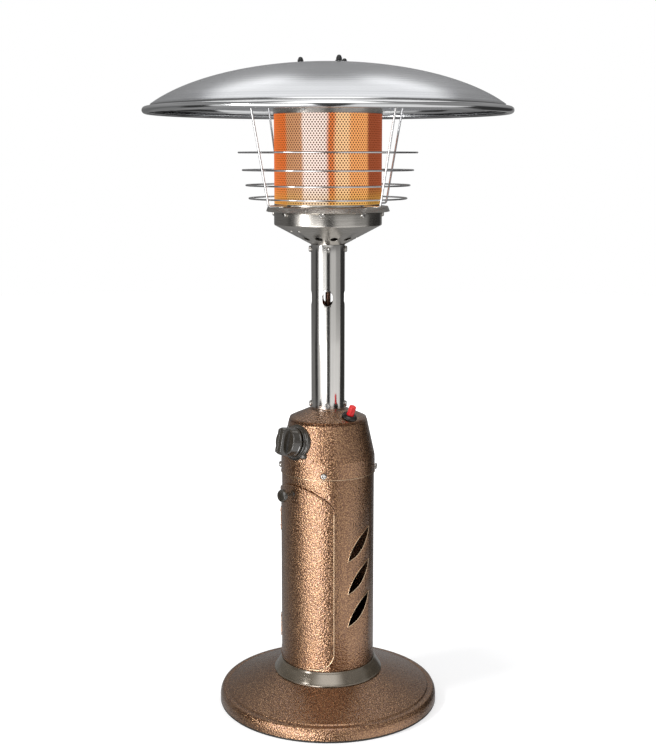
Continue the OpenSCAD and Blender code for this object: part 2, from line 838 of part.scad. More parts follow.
module knob_bezel() {
    color("#2d2826") difference() {
        on_knob_axis() translate([0, 0, boss_face - bezel_depth]) {
            cylinder(r = bezel_boss_r, h = bezel_depth);
            cylinder(r = bezel_r, h = bezel_depth - bezel_boss_h);
            bezel_screw_places() cylinder(r = bezel_ear_r, h = bezel_depth - bezel_boss_h);
        }
        control_solid(seat);
        disc(cap_edge_r + seat, cone_top_z - bond, cap_top_z);
        on_knob_axis() translate([0, 0, -12]) {
            cylinder(r = bezel_hole_r, h = 20);
            bezel_screw_places() cylinder(r = bezel_screw_r + screw_gap, h = 20);
        }
    }
}

module bezel_screws() {
    color("#d0d0d0") on_knob_axis() bezel_screw_places() translate([0, 0, bezel_face + seat / 2])
        pan_screw(bezel_head, bezel_screw_r, 9);
}

module control_knob() {
    color("#35302c") on_knob_axis() difference() {
        union() {
            translate([0, 0, knob_back]) cylinder(r1 = knob_r, r2 = knob_r - 0.4, h = 2.5);
            translate([0, 0, knob_back])
                cylinder(r1 = knob_r - 1, r2 = knob_r - 1.6, h = drum_face - knob_back);
            intersection() {
                translate([0, 0, knob_back])
                    cylinder(r1 = knob_r - 1, r2 = knob_r - 2, h = knob_face - knob_back);
                translate([-grip_w / 2, -knob_r, knob_back]) cube([grip_w, 2 * knob_r, knob_face]);
            }
        }
        translate([-grip_w / 5, -knob_r, knob_face - 1]) cube([grip_w / 2.5, 2 * knob_r, 2]);
        translate([0, 0, knob_back - 1]) cylinder(r = stem_r + run, h = stem_out - knob_back + 1 + seat);
    }
}

module valve_stem() {
    color("#c8a24a") on_knob_axis() translate([0, 0, stem_in]) cylinder(r = stem_r, h = stem_out - stem_in);
}

module valve_plug() {
    color("#b8923e") on_knob_axis() difference() {
        translate([0, 0, plug_end]) cylinder(r = plug_r, h = plug_l);
        translate([0, 0, stem_in - knob_push - seat]) cylinder(r = stem_r + run, h = plug_l);
    }
}

module valve_bonnet() {
    color("#a9a9ab") on_knob_axis() translate([0, 0, bonnet_face - bonnet_t]) difference() {
        cylinder(r = barrel_r, h = bonnet_t);
        translate([0, 0, -1]) cylinder(r = stem_r + seat, h = bonnet_t + 2);
    }
}

module valve_body() {
    color("#c2a04d") difference() {
        union() {
            on_knob_axis() translate([0, 0, barrel_end])
                cylinder(r = barrel_r, h = plug_face - barrel_end);
            disc(boss_r, boss_low_z, axis_z);
            disc(outlet_r, axis_z, outlet_z);
        }
        on_knob_axis() translate([0, 0, plug_end - seat]) cylinder(r = plug_r + run, h = plug_l + 2);
        disc(neck_r + run, boss_low_z - 1, neck_top_z + seat);
        disc(gas_tube_r + run, outlet_z - tube_seat_h, outlet_z + 1);
        disc(gas_way_r, neck_top_z, outlet_z);
    }
}

module regulator_inlet() {
    color("#b59a4c") tube(inlet_collar_r, inlet_r, regulator_low_z, inlet_top_z);
}

module regulator() {
    low_z = inlet_top_z + seat;
    flange_z = deck_z - 9;
    color("#8f9094") difference() {
        union() {
            translate([0, 0, low_z]) cylinder(r1 = inlet_collar_r, r2 = regulator_r, h = 5);
            disc(regulator_r, low_z + 4, flange_z + 1);
            disc(regulator_r + 3, flange_z, deck_z - seat);
            disc(neck_r, deck_z - 1, neck_top_z);
        }
        disc(gas_way_r, regulator_low_z, neck_top_z + 1);
    }
}

module regulator_nut() {
    color("#b59a4c") translate([0, 0, regulator_nut_z])
        hex_nut(regulator_nut_r * 1.75, regulator_nut_h, neck_r + run);
}

module tilt_switch() {
    case_r = 9;
    case_h = 16;
    color("#1f1f21") at(-140, 45, deck_z + deck_t + seat) {
        cylinder(r = case_r + 2, h = 2);
        cylinder(r = case_r, h = case_h);
        translate([0, 0, case_h - bond]) cylinder(r1 = case_r, r2 = case_r - 2, h = 2);
    }
}

module igniter_barrel() {
    below = control_t + 2 * seat;
    color("#232325") on_igniter_axis() difference() {
        union() {
            translate([0, 0, -below - bond]) cylinder(r = collar_r, h = below + collar_up + bond);
            translate([0, 0, -piezo_l]) cylinder(r = barrel_flange_r, h = piezo_l - below);
        }
        translate([0, 0, bore_in]) cylinder(r = button_r + run, h = 40);
    }
}

module igniter_nut() {
    color("#1b1a1a") on_igniter_axis() difference() {
        rotate_extrude() polygon([[0, seat], [igniter_nut_r, seat], [igniter_nut_r, seat + 1.6],
            [igniter_nut_r - 2.5, nut_up - 1], [button_r + 2.6, nut_up], [0, nut_up]]);
        cylinder(r = collar_r + run, h = collar_up + seat);
        cylinder(r = button_r + seat, h = nut_up + 1);
    }
}

module igniter_button() {
    color("#d8181c") on_igniter_axis() translate([0, 0, button_in]) rotate_extrude()
        polygon(concat([[0, 0], [button_r, 0]],
            arc_points([button_r - 1.5, button_up - button_in - 1.5], 1.5, 0, 90, 6),
            [[0, button_up - button_in]]));
}

// Spot in the heater at a distance out, a height and an angle
function spot(out, z, turn) = [out * sin(turn), -out * cos(turn), z];

module igniter_lead() {
    piezo_low_r = igniter_out - (piezo_l + seat) * sin(cap_slope);
    piezo_low_z = igniter_z - (piezo_l + seat) * cos(cap_slope);
    lead_turn = igniter_turn + 8;
    color("#c23a2a") wire([spot(piezo_low_r, piezo_low_z, igniter_turn),
        spot(piezo_low_r - 3, piezo_low_z - 8, igniter_turn),
        spot(piezo_low_r - 9, piezo_low_z - 11, lead_turn), spot(lead_out, piezo_low_z - 4, lead_turn),
        spot(lead_out, lead_bend_z, lead_turn), spot(electrode_out, bowl_corner_z + 3, igniter_turn),
        spot(electrode_out, electrode_low_z - seat, igniter_turn)], lead_r);
}

module thermocouple() {
    out = thermocouple_out;
    turn = thermocouple_turn;
    color("#b87350") wire([spot(lead_out, axis_z + barrel_r + 4, turn), spot(lead_out, lead_bend_z, turn),
        spot(out, bowl_corner_z + 3, turn), spot(out, drum_top_z, turn)], lead_r);
}

module spark_electrode() {
    color("#e8e4da") at(igniter_turn, electrode_out, electrode_low_z) {
        cylinder(r = electrode_r, h = electrode_h);
        translate([0, 0, electrode_h - bond]) cylinder(r = electrode_tip_r, h = electrode_tip_h);
    }
}

module post_socket() {
    flange_top_z = cap_top_z - control_t - seat;
    color("#77726d") difference() {
        union() {
            tube(socket_r, socket_r - socket_t, cap_top_z - socket_down, cap_top_z + socket_up);
            tube(socket_flange_r, socket_r - bond, flange_top_z - flange_t, flange_top_z);
        }
        joint_screw_holes(post_low_z + post_screw_in, joint_screws, post_screw_turn,
            joint_screw_r + screw_gap, socket_r - 8, socket_r + 5);
    }
}

module oval_hole() {
    flat = oval_h - oval_w;
    outward() linear_extrude(post_r + 5) union() {
        for (s = [-1, 1]) translate([0, s * flat / 2]) circle(d = oval_w);
        square([oval_w, flat], center = true);
    }
}

module post() {
    color("#c9c4bd") difference() {
        tube(post_r, post_r - post_t, post_low_z, post_top_z);
        around(post_hole_n, post_screw_turn) translate([0, 0, oval_z]) oval_hole();
        for (z = [post_low_z + post_screw_in, post_top_z - post_screw_in])
            joint_screw_holes(z, joint_screws, post_screw_turn, joint_screw_r + screw_gap,
                post_r - 8, post_r + 5);
    }
}

module post_screws() {
    color("#c9c7c2") for (z = [post_low_z + post_screw_in, post_top_z - post_screw_in])
        around(joint_screws, post_screw_turn) translate([0, -post_r - seat, z])
            outward() pan_screw(joint_head, joint_screw_r, 6.5);
}

module gas_tube() {
    color("#c98a5e") tube(gas_tube_r, gas_tube_r - gas_tube_t, outlet_z - tube_seat_h + seat, gas_top_z);
}

module orifice() {
    hex_drop = 8;
    hex_h = 13;
    tip_h = 14;
    jet_r = 0.8;
    color("#c8a24a") difference() {
        union() {
            translate([0, 0, gas_top_z - hex_drop]) cylinder(r = gas_tube_r + 2.8, h = hex_h, $fn = 6);
            disc(gas_tube_r - 0.5, gas_top_z, gas_top_z + tip_h);
        }
        disc(gas_tube_r + run, gas_top_z - hex_drop - 1, gas_top_z + seat);
        disc(jet_r, gas_top_z - 1, gas_top_z + tip_h + 1);
    }
}

module mixer_tube() {
    skin = [[mixer_r - 3.5, mixer_top_z], [mixer_r - 3.5, mixer_low_z + 20], [mixer_r, mixer_low_z + 8],
        [mixer_r, mixer_low_z]];
    color("#8c8781") rotate_extrude() polygon(sheet_outline(skin, mixer_t));
}

module burner_bowl() {
    cone_in_r = post_r + 0.3;
    lean = atan(bowl_cone_h / (bowl_r - cone_in_r));
    vent_z = bowl_low_z + (vent_out - cone_in_r) * tan(lean);
    skin = [[bowl_r, bowl_top_z], [bowl_r, bowl_corner_z], [cone_in_r, bowl_low_z],
        [bowl_neck_r, bowl_low_z], [bowl_neck_r, bowl_low_z - bowl_neck_h]];
    color("#a39d95") difference() {
        rotate_extrude() polygon(sheet_outline(skin, bowl_t));
        around(vent_n, vent_turn) translate([0, -vent_out, vent_z]) rotate([180 - lean, 0, 0])
            cylinder(r = vent_r, h = 12, center = true);
        joint_screw_holes(bowl_screw_z, bowl_screw_n, bowl_screw_turn, bowl_screw_r + screw_gap,
            bowl_r - 6, bowl_r + 5);
        joint_screw_holes(post_top_z - post_screw_in, joint_screws, post_screw_turn,
            joint_screw_r + screw_gap, bowl_neck_r - 6, bowl_neck_r + 5);
    }
}

module bowl_screws() {
    color("#bdbab5") around(bowl_screw_n, bowl_screw_turn) translate([0, -bowl_r - seat, bowl_screw_z])
        outward() pan_screw(bowl_head, bowl_screw_r, 5.5);
}

module burner_head() {
    drum_in_r = drum_r - drum_wall;
    color("#77716a") difference() {
        union() {
            disc(head_lip_r, head_top_z - head_t, head_top_z);
            tube(head_lip_r, head_lip_r - head_t, head_top_z - head_lip_h, head_top_z - head_t + bond);
            tube(drum_r, drum_in_r, head_top_z - bond, drum_top_z);
            disc(drum_r, drum_top_z - drum_wall, drum_top_z);
        }
        disc(mixer_r - 4, head_top_z - head_t - 1, head_top_z + 1);
        around(port_n, 0) translate([0, -drum_in_r + 3, head_top_z + drum_h / 2]) outward()
            cylinder(r = port_r, h = 8);
        joint_screw_holes(bowl_screw_z, bowl_screw_n, bowl_screw_turn, bowl_screw_r + screw_gap,
            head_lip_r - 6, head_lip_r + 3);
        at(igniter_turn, electrode_out, head_top_z - head_t - 1)
            cylinder(r = electrode_r + seat, h = head_t + 2);
        at(thermocouple_turn, thermocouple_out, head_top_z - head_t - 1)
            cylinder(r = lead_r + seat, h = head_t + 2);
    }
}

module guard_plate() {
    skin = [[plate_hole_r, plate_top_z], [plate_edge_r, plate_top_z],
        [plate_r, plate_top_z - plate_skirt_h]];
    color("#8f8982") rotate_extrude() polygon(sheet_outline(skin, plate_t));
}

module emitter_screen() {
    color("#c98a5a") difference() {
        tube(screen_r, screen_r - screen_t, screen_low_z, screen_top_z);
        screen_screw_places() cylinder(r = screen_screw_r + screw_gap, h = 20, center = true);
    }
}

module screen_screw_places() {
    around(3, screen_screw_turn) for (s = [-1, 1]) at(s * screen_screw_pair, rim_r, screen_screw_z)
        outward() children();
}

module screen_cap() {
    color("#a8a29a") difference() {
        union() {
            disc(rim_r, cap_sheet_z, cap_plate_z);
            tube(rim_r, rim_r - cap_t, cap_plate_z - cap_rim_h, cap_sheet_z + bond);
        }
        screen_screw_places() cylinder(r = screen_screw_r + screw_gap, h = 20, center = true);
        around(3, stud_turn) at(0, stud_circle_r, cap_sheet_z - 1) cylinder(r = stud_r + screw_gap, h = 4);
    }
}

module screen_screws() {
    color("#6d6964") screen_screw_places() translate([0, 0, seat / 2])
        pan_screw(screen_head, screen_screw_r, 3);
}

module reflector_studs() {
    color("#b9b9b9") around(3, stud_turn) at(0, stud_circle_r, stud_low_z)
        cylinder(r = stud_r, h = stud_top_z - stud_low_z);
}

module stud_nuts() {
    under_z = dome_z(stud_circle_r) - reflector_t - nut_room;
    color("#9c9c9e") around(3, stud_turn) {
        at(0, stud_circle_r, cap_plate_z + seat) hex_nut(nut_af, nut_h, stud_r + run);
        at(0, stud_circle_r, under_z - nut_h) hex_nut(nut_af, nut_h, stud_r + run);
    }
}

function dome_skin() = [for (i = [0:28]) let (r = dome_r * sin(i * 90 / 28)) [r, dome_z(r)]];

module reflector() {
    lip = roll_c + roll_r * [cos(115), sin(115)];
    step_z = lip[1] + 0.9;
    skin = concat(dome_skin(), [[dome_r + 1.4, step_z], [lip[0] - 2.4, step_z + 0.5],
        [lip[0] - 0.8, step_z]], arc_points(roll_c, roll_r, 115, -150, 14));
    color("#c4c7ca") difference() {
        rotate_extrude() polygon(sheet_outline(skin, reflector_t));
        around(3, stud_turn) at(0, stud_circle_r, dome_top_z - 20)
            cylinder(r = stud_r + screw_gap, h = 30);
    }
}

module dome_washers() {
    color("#202022") around(3, stud_turn) at(0, stud_circle_r, dome_z(stud_circle_r) + nut_room)
        difference() {
            cylinder(r = washer_r, h = washer_t);
            translate([0, 0, -1]) cylinder(r = stud_r + screw_gap, h = washer_t + 2);
        }
}

module dome_nuts() {
    hex_h = 3.2;
    bore_h = 5.2;
    round_r = nut_af / 2 - 0.4;
    color("#151516") around(3, stud_turn)
        at(0, stud_circle_r, dome_nut_z) difference() {
            union() {
                cylinder(r = nut_af / sqrt(3), h = hex_h, $fn = 6);
                translate([0, 0, hex_h - bond]) rotate_extrude() polygon(concat([[0, 0], [round_r, 0]],
                    arc_points([0, 0.6], round_r, 0, 90, 8)));
            }
            translate([0, 0, -1]) cylinder(r = stud_r + run, h = bore_h + 1);
        }
}

module guard_ring(k) {
    color("#3b3b3d") rotate_extrude($fn = 128) translate([ring_r(k), ring_z(k)])
        circle(r = ring_wire_r, $fn = 24);
}

module guard_ring_1() { guard_ring(1); }
module guard_ring_2() { guard_ring(2); }
module guard_ring_3() { guard_ring(3); }
module guard_ring_4() { guard_ring(4); }

module guard_stays() {
    color("#b9bcc0") for (turn = stay_turns) rotate([0, 0, turn])
        wire([[0, -foot_in_r, foot_z], [0, -heel_r, foot_z], [0, -stay_top_r, stay_top_z]], stay_wire_r);
}

base_edging();
base_dish();
base_cover();
base_weight();
base_bolts();
base_nuts();
housing_floor();
foot_ring();
housing_shell();
deck_plate();
access_door();
latch_pull();
latch_tongue();
latch_nut();
hinge_fixed_leaves();
hinge_door_leaves();
hinge_pins();
control_housing();
shoulder_cap();
housing_screws();
knob_bezel();
bezel_screws();
control_knob();
valve_stem();
valve_plug();
valve_bonnet();
valve_body();
regulator_inlet();
regulator();
regulator_nut();
tilt_switch();
igniter_barrel();
igniter_nut();
igniter_button();
igniter_lead();
post_socket();
post();
post_screws();
gas_tube();
orifice();
mixer_tube();
burner_bowl();
bowl_screws();
burner_head();
guard_plate();
thermocouple();
spark_electrode();
emitter_screen();
screen_cap();
screen_screws();
reflector_studs();
stud_nuts();
reflector();
dome_nuts();
dome_washers();
guard_ring_1();
guard_ring_2();
guard_ring_3();
guard_ring_4();
guard_stays();
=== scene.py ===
# %% [markdown]
# # A tabletop patio heater
# The heater is a stack of round sheet parts: a weighted dish, a bottle housing with a door, a post, a burner
# bowl with a perforated emitter, a wire guard and a wide reflector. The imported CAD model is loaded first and
# stays fixed. Every finished piece is then made around it, in metres, where the CAD node lies.

# %% Frame
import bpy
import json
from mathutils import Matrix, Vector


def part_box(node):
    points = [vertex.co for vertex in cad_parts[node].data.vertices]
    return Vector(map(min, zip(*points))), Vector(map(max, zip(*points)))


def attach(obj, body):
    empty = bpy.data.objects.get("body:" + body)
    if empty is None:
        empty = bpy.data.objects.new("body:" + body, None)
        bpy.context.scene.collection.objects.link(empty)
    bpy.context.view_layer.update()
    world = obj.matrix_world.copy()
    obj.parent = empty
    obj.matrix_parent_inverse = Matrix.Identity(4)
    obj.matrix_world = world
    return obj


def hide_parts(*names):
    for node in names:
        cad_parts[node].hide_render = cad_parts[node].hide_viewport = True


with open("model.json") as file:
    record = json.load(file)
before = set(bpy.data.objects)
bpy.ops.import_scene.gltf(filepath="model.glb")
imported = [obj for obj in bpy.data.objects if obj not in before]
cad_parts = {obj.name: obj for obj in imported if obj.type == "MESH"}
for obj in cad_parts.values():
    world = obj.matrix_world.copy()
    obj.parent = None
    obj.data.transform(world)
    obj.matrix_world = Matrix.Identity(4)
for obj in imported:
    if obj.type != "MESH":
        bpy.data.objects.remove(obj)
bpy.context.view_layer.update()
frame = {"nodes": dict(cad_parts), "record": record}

import json
import math

import bmesh
import bpy
from mathutils import Matrix, Vector

MM = 0.001

# %% [markdown]
# ## Camera
# The picture was taken from the front right, a little above the burner. A camera fitted to the round edges
# stands 1.86 m away at the height of the emitter and looks ten degrees down, with a 60 mm lens.

# %% Camera
CAMERA_TURN = math.radians(47)
CAMERA_AWAY = 1.858
CAMERA_HEIGHT = 0.8303
CAMERA_DIP = math.radians(9.97)
LENS = 60


def toward(turn, away, height):
    """Point at an angle round the heater, 0 at the door and growing towards +X."""
    return Vector((away * math.sin(turn), -away * math.cos(turn), height))


def set_camera():
    camera = bpy.data.objects.new("camera", bpy.data.cameras.new("camera"))
    camera.data.lens = LENS
    camera.location = toward(CAMERA_TURN, CAMERA_AWAY, CAMERA_HEIGHT)
    camera.rotation_euler = (math.pi / 2 - CAMERA_DIP, 0, CAMERA_TURN)
    bpy.context.scene.collection.objects.link(camera)
    bpy.context.scene.camera = camera
    return camera


print("camera at", tuple(set_camera().location))

# %% [markdown]
# ## Outlines
# Presses and lathes leave a radius on every corner, and that radius is what catches the light. An outline
# could be drawn by hand as a curve. Here it is written in millimetres as corners, each with its radius,
# because a list of sizes is easy to check. A sheet part is its outer skin and a copy of it moved inwards by
# the sheet's thickness.

# %% Outlines
SHEET_T = 1.2
OUTWARD = Matrix.Rotation(math.pi / 2, 4, "X")


def shift(x, y, z):
    """Move by millimetres."""
    return Matrix.Translation((x * MM, y * MM, z * MM))


def spin(angle, axis="Z"):
    return Matrix.Rotation(angle, 4, axis)


def rounded(corners, closed=True, steps=4):
    """Points of an outline of corners (x, y) or (x, y, radius), with an arc at each radius."""
    points = []
    for i, corner in enumerate(corners):
        here = Vector(corner[:2])
        end = not closed and i in (0, len(corners) - 1)
        if len(corner) < 3 or end:
            points.append(here)
            continue
        back = Vector(corners[i - 1][:2]) - here
        ahead = Vector(corners[(i + 1) % len(corners)][:2]) - here
        half = back.angle(ahead) / 2
        cut = min(corner[2] / math.tan(half), back.length * 0.49, ahead.length * 0.49)
        middle = here + (back.normalized() + ahead.normalized()).normalized() * cut / math.cos(half)
        arm = here + back.normalized() * cut - middle
        sweep = math.copysign(math.pi - 2 * half, ahead.x * back.y - ahead.y * back.x)
        for k in range(steps + 1):
            c, s = math.cos(sweep * k / steps), math.sin(sweep * k / steps)
            points.append(middle + Vector((arm.x * c - arm.y * s, arm.x * s + arm.y * c)))
    return points


def arc(centre, radius, first, last, steps):
    """Points of an arc, from the first angle to the last, in degrees."""
    turns = [math.radians(first + (last - first) * k / steps) for k in range(steps + 1)]
    return [Vector(centre) + radius * Vector((math.cos(w), math.sin(w))) for w in turns]


def sheet(skin, thick=SHEET_T):
    """Closed section of a sheet that lies on the right of its skin."""
    ways = [(b - a).normalized() for a, b in zip(skin, skin[1:])]
    inner = []
    for i, point in enumerate(skin):
        before, after = ways[max(i - 1, 0)], ways[min(i, len(ways) - 1)]
        middle = (before + after).normalized()
        side = Vector((middle.y, -middle.x))
        stretch = max(side.dot(Vector((after.y, -after.x))), 0.3)
        moved = point + side * thick / stretch
        inner.append(Vector((0, moved.y)) if point.x < 1e-6 else moved)
    return list(skin) + inner[::-1]


print("a rounded corner has", len(rounded([(0, 0), (4, 0, 1), (4, 4)])) - 2, "points")

# %% [markdown]
# ## Turned parts
# Nearly every part of the heater is turned or pressed, so it is a section spun round an axis. A Screw
# modifier could do that. Setting the points ring by ring is as short, closes the poles and leaves no seam to
# weld. A straight prism serves for bars and cutters.

# %% Turned parts
def turned(section, sides=192):
    """Bmesh of a closed section (radius, height) in millimetres, turned round Z."""
    bm = bmesh.new()
    rings = []
    for r, z in section:
        if r < 1e-6:
            rings.append([bm.verts.new((0, 0, z * MM))] * sides)
        else:
            rings.append([bm.verts.new(toward(2 * math.pi * k / sides, r, z) * MM) for k in range(sides)])
    for low, high in zip(rings, rings[1:] + rings[:1]):
        for k in range(sides):
            j = (k + 1) % sides
            corners = list(dict.fromkeys((low[k], low[j], high[j], high[k])))
            if len(corners) > 2:
                bm.faces.new(corners)
    bmesh.ops.recalc_face_normals(bm, faces=bm.faces)
    return bm


def lathe(corners, sides, steps=4):
    """Turned part with a solid section of rounded corners."""
    return turned(rounded(corners, steps=steps), sides)


def pressed(corners, sides, steps=5, thick=SHEET_T):
    """Turned part of sheet, from the corners of its outer skin."""
    return turned(sheet(rounded(corners, closed=False, steps=steps), thick), sides)


def band(inner, outer, low, high, edge, sides):
    """Plain ring of upright section."""
    return lathe([(inner, low, edge), (outer, low, edge), (outer, high, edge), (inner, high, edge)], sides, 2)


def prism(outline, low, high):
    """Bmesh of a closed outline (x, y) in millimetres, drawn out along Z from low to high."""
    bm = bmesh.new()
    bottom = [bm.verts.new(Vector((x, y, low)) * MM) for x, y in outline]
    top = [bm.verts.new(Vector((x, y, high)) * MM) for x, y in outline]
    bm.faces.new(bottom[::-1])
    bm.faces.new(top)
    for k, corner in enumerate(bottom):
        j = (k + 1) % len(bottom)
        bm.faces.new((corner, bottom[j], top[j], top[k]))
    bmesh.ops.recalc_face_normals(bm, faces=bm.faces)
    return bm


def reach(node):
    """Outer radius, lowest and highest height of a round CAD node, in millimetres."""
    low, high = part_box(node)
    return max(high.x, high.y) / MM, low.z / MM, high.z / MM


print("base dish reaches", [round(v, 1) for v in reach("base_dish")])

# %% [markdown]
# ## From mesh to piece
# A helper gives each mesh its finish, smooth shading that stops at real edges, the body it rides on and the
# CAD node it stands for. Finishes carry the names of the record's slots, so one name serves for both.

# %% Piece helpers
EDGE_ANGLE = math.radians(38)


def loose(shape, move=None):
    """Object at the origin from a bmesh or other data, which is moved first, on no body yet."""
    data = shape
    if isinstance(shape, bmesh.types.BMesh):
        if move:
            shape.transform(move)
        data = bpy.data.meshes.new("part")
        shape.to_mesh(data)
        shape.free()
    obj = bpy.data.objects.new("part", data)
    bpy.context.scene.collection.objects.link(obj)
    return obj


def plain_mesh(obj):
    """Mesh that an object shows once its modifiers have run."""
    graph = bpy.context.evaluated_depsgraph_get()
    return bpy.data.meshes.new_from_object(obj.evaluated_get(graph))


def settled(obj):
    """Turns an object's live modifiers into plain mesh."""
    mesh = plain_mesh(obj)
    obj.modifiers.clear()
    obj.data = mesh
    return obj


def discard(*objects):
    for obj in objects:
        bpy.data.objects.remove(obj)


def bevelled(obj, width, segments=2, angle=50):
    """Rounds the edges sharper than an angle."""
    bevel = obj.modifiers.new("edges", "BEVEL")
    bevel.width = width * MM
    bevel.segments = segments
    bevel.limit_method = "ANGLE"
    bevel.angle_limit = math.radians(angle)
    bevel.use_clamp_overlap = True
    return settled(obj)


def thickened(obj, thick):
    """Gives an open sheet its thickness, inwards."""
    wall = obj.modifiers.new("wall", "SOLIDIFY")
    wall.thickness = thick * MM
    wall.offset = -1
    return settled(obj)


def merged(first, *others, op="UNION"):
    """One closed solid from several objects."""
    for other in others:
        join = first.modifiers.new("join", "BOOLEAN")
        join.operation = op
        join.solver = "EXACT"
        join.object = other
        settled(first)
    discard(*others)
    return first


def joined(*objects):
    """One object that holds several separate solids."""
    bm = bmesh.new()
    for obj in objects:
        bm.from_mesh(obj.data)
    discard(*objects)
    return loose(bm)


def swept(points, radius, sides=10):
    """Tube of round section along a list of points, with closed ends."""
    curve = bpy.data.curves.new("path", "CURVE")
    curve.dimensions = "3D"
    curve.bevel_depth = radius * MM
    curve.bevel_resolution = sides // 2 - 2
    curve.use_fill_caps = True
    spline = curve.splines.new("POLY")
    spline.points.add(len(points) - 1)
    for target, point in zip(spline.points, points):
        target.co = (*(Vector(point) * MM), 1)
    tube = loose(curve)
    mesh = plain_mesh(tube)
    discard(tube)
    return loose(mesh)


def piece(name, shape, finish, body="heater", node=None):
    """Piece in a finish, with smooth shading, the body it rides on and the node it stands for."""
    obj = loose(shape) if isinstance(shape, bmesh.types.BMesh) else shape
    obj.name = name
    obj.data.materials.clear()
    obj.data.materials.append(FINISHES[finish])
    obj.data.shade_smooth()
    obj.data.set_sharp_from_angle(angle=EDGE_ANGLE)
    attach(obj, body)
    if node:
        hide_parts(node)
    print(name, "has", len(obj.data.polygons), "faces")


def finished(node, shape, finish, body="heater"):
    """Piece that stands for the whole CAD node it is named after."""
    piece(node + "_finished", shape, finish, body, node)


print("pieces take edges sharper than", round(math.degrees(EDGE_ANGLE)), "degrees as sharp")

# %% [markdown]
# ## Geometry Nodes helpers
# Screws, slots, louvres, wires and perforations repeat, so node trees make them. A tree is built in code:
# each call adds one node and links or sets its inputs. Its sizes are named inputs of the tree.

# %% Tree helpers
def new_tree(name, **sizes):
    """Geometry Nodes tree with a mesh in, a mesh out and one named input for each size."""
    tree = bpy.data.node_groups.new(name, "GeometryNodeTree")
    tree.interface.new_socket("Mesh", in_out="INPUT", socket_type="NodeSocketGeometry")
    for label, kind in sizes.items():
        tree.interface.new_socket(label, in_out="INPUT", socket_type="NodeSocket" + kind)
    tree.interface.new_socket("Mesh", in_out="OUTPUT", socket_type="NodeSocketGeometry")
    return tree, tree.nodes.new("NodeGroupInput").outputs


def add(tree, kind, feeds, **options):
    """Adds a node, sets its options, feeds its inputs and returns its first output."""
    node = tree.nodes.new(kind)
    for key, value in options.items():
        setattr(node, key, value)
    for key, value in feeds.items():
        if isinstance(value, bpy.types.NodeSocket):
            tree.links.new(value, node.inputs[key])
        else:
            node.inputs[key].default_value = value
    return node.outputs[0]


def calc(tree, operation, a, b=0.0, c=0.0):
    return add(tree, "ShaderNodeMath", {0: a, 1: b, 2: c}, operation=operation)


def times(tree, a, b):
    return calc(tree, "MULTIPLY", a, b)


def plus(tree, a, b):
    return calc(tree, "ADD", a, b)


def minus(tree, a, b):
    return calc(tree, "SUBTRACT", a, b)


def share(tree, a, b):
    return calc(tree, "DIVIDE", a, b)


def vector(tree, x, y, z):
    return add(tree, "ShaderNodeCombineXYZ", {0: x, 1: y, 2: z})


def own_place(tree):
    """Coordinates of each point of the mesh."""
    place = add(tree, "GeometryNodeInputPosition", {})
    return add(tree, "ShaderNodeSeparateXYZ", {0: place}).node.outputs


def moved_to(tree, geometry, *place):
    return add(tree, "GeometryNodeSetPosition", {"Geometry": geometry, "Position": vector(tree, *place)})


def welded(tree, geometry, gap):
    return add(tree, "GeometryNodeMergeByDistance", {"Geometry": geometry, "Distance": gap * MM})


def object_shape(tree, chosen):
    """Geometry of the object that the tree is given."""
    return add(tree, "GeometryNodeObjectInfo", {"Object": chosen}).node.outputs["Geometry"]


def end_tree(tree, geometry, finish):
    """Ends the tree with real mesh in its finish."""
    real = add(tree, "GeometryNodeRealizeInstances", {0: geometry})
    made = add(tree, "GeometryNodeSetMaterial", {"Geometry": real, "Material": FINISHES[finish]})
    tree.links.new(made, tree.nodes.new("NodeGroupOutput").inputs[0])
    return tree


def grown(tree, values, base=None):
    """Plain mesh object that a tree makes from its values, and from a base object where it has one."""
    host = base or loose(bpy.data.meshes.new("part"))
    modifier = host.modifiers.new("grow", "NODES")
    modifier.node_group = tree
    for item in tree.interface.items_tree:
        if item.in_out == "INPUT" and item.name in values:
            modifier[item.identifier] = values[item.name]
    return settled(host)


print("node trees so far:", len(bpy.data.node_groups))

# %% [markdown]
# ## Rings of one shape
# Screws, vents, louvres and nuts stand at even steps round the heater. Copies by hand or an Array modifier
# could place them. One tree with named sizes does it here, because the same tree can also cut the shape out
# of a wall, and a count or a turn stays a number that is easy to change.

# %% Rings
RING = {"Count": "Int", "Turn": "Float", "Rows": "Int", "Rise": "Float"}


def row_and_column(tree, columns):
    """Row and column of each point, counted along the rows."""
    index = add(tree, "GeometryNodeInputIndex", {})
    return calc(tree, "FLOOR", share(tree, index, columns)), calc(tree, "MODULO", index, columns)


def set_round(tree, instance, sizes):
    """Copies of an instance round Z, in rows one above the other. They face as drawn at the door's side."""
    points = add(tree, "GeometryNodePoints", {"Count": times(tree, sizes["Count"], sizes["Rows"])})
    row, column = row_and_column(tree, sizes["Count"])
    step = share(tree, 2 * math.pi, sizes["Count"])
    angle = plus(tree, times(tree, column, step), sizes["Turn"])
    placed = moved_to(tree, points, 0.0, 0.0, times(tree, row, sizes["Rise"]))
    return add(tree, "GeometryNodeInstanceOnPoints",
               {"Points": placed, "Instance": instance, "Rotation": vector(tree, 0.0, 0.0, angle)})


def ring_tree(finish, cut):
    """Tree that sets a shape round the heater's axis, or cuts it out of the mesh at each place."""
    tree, sizes = new_tree("cut round" if cut else "set round", Shape="Object", **RING)
    made = set_round(tree, object_shape(tree, sizes["Shape"]), sizes)
    if cut:
        cutters = add(tree, "GeometryNodeRealizeInstances", {0: made})
        made = add(tree, "GeometryNodeMeshBoolean", {0: sizes["Mesh"], 1: cutters},
                   operation="DIFFERENCE", solver="EXACT")
    return end_tree(tree, made, finish)


def ring_values(count=1, turn=0.0, rows=1, rise=0.0):
    return {"Count": count, "Turn": math.radians(turn), "Rows": rows, "Rise": rise * MM}


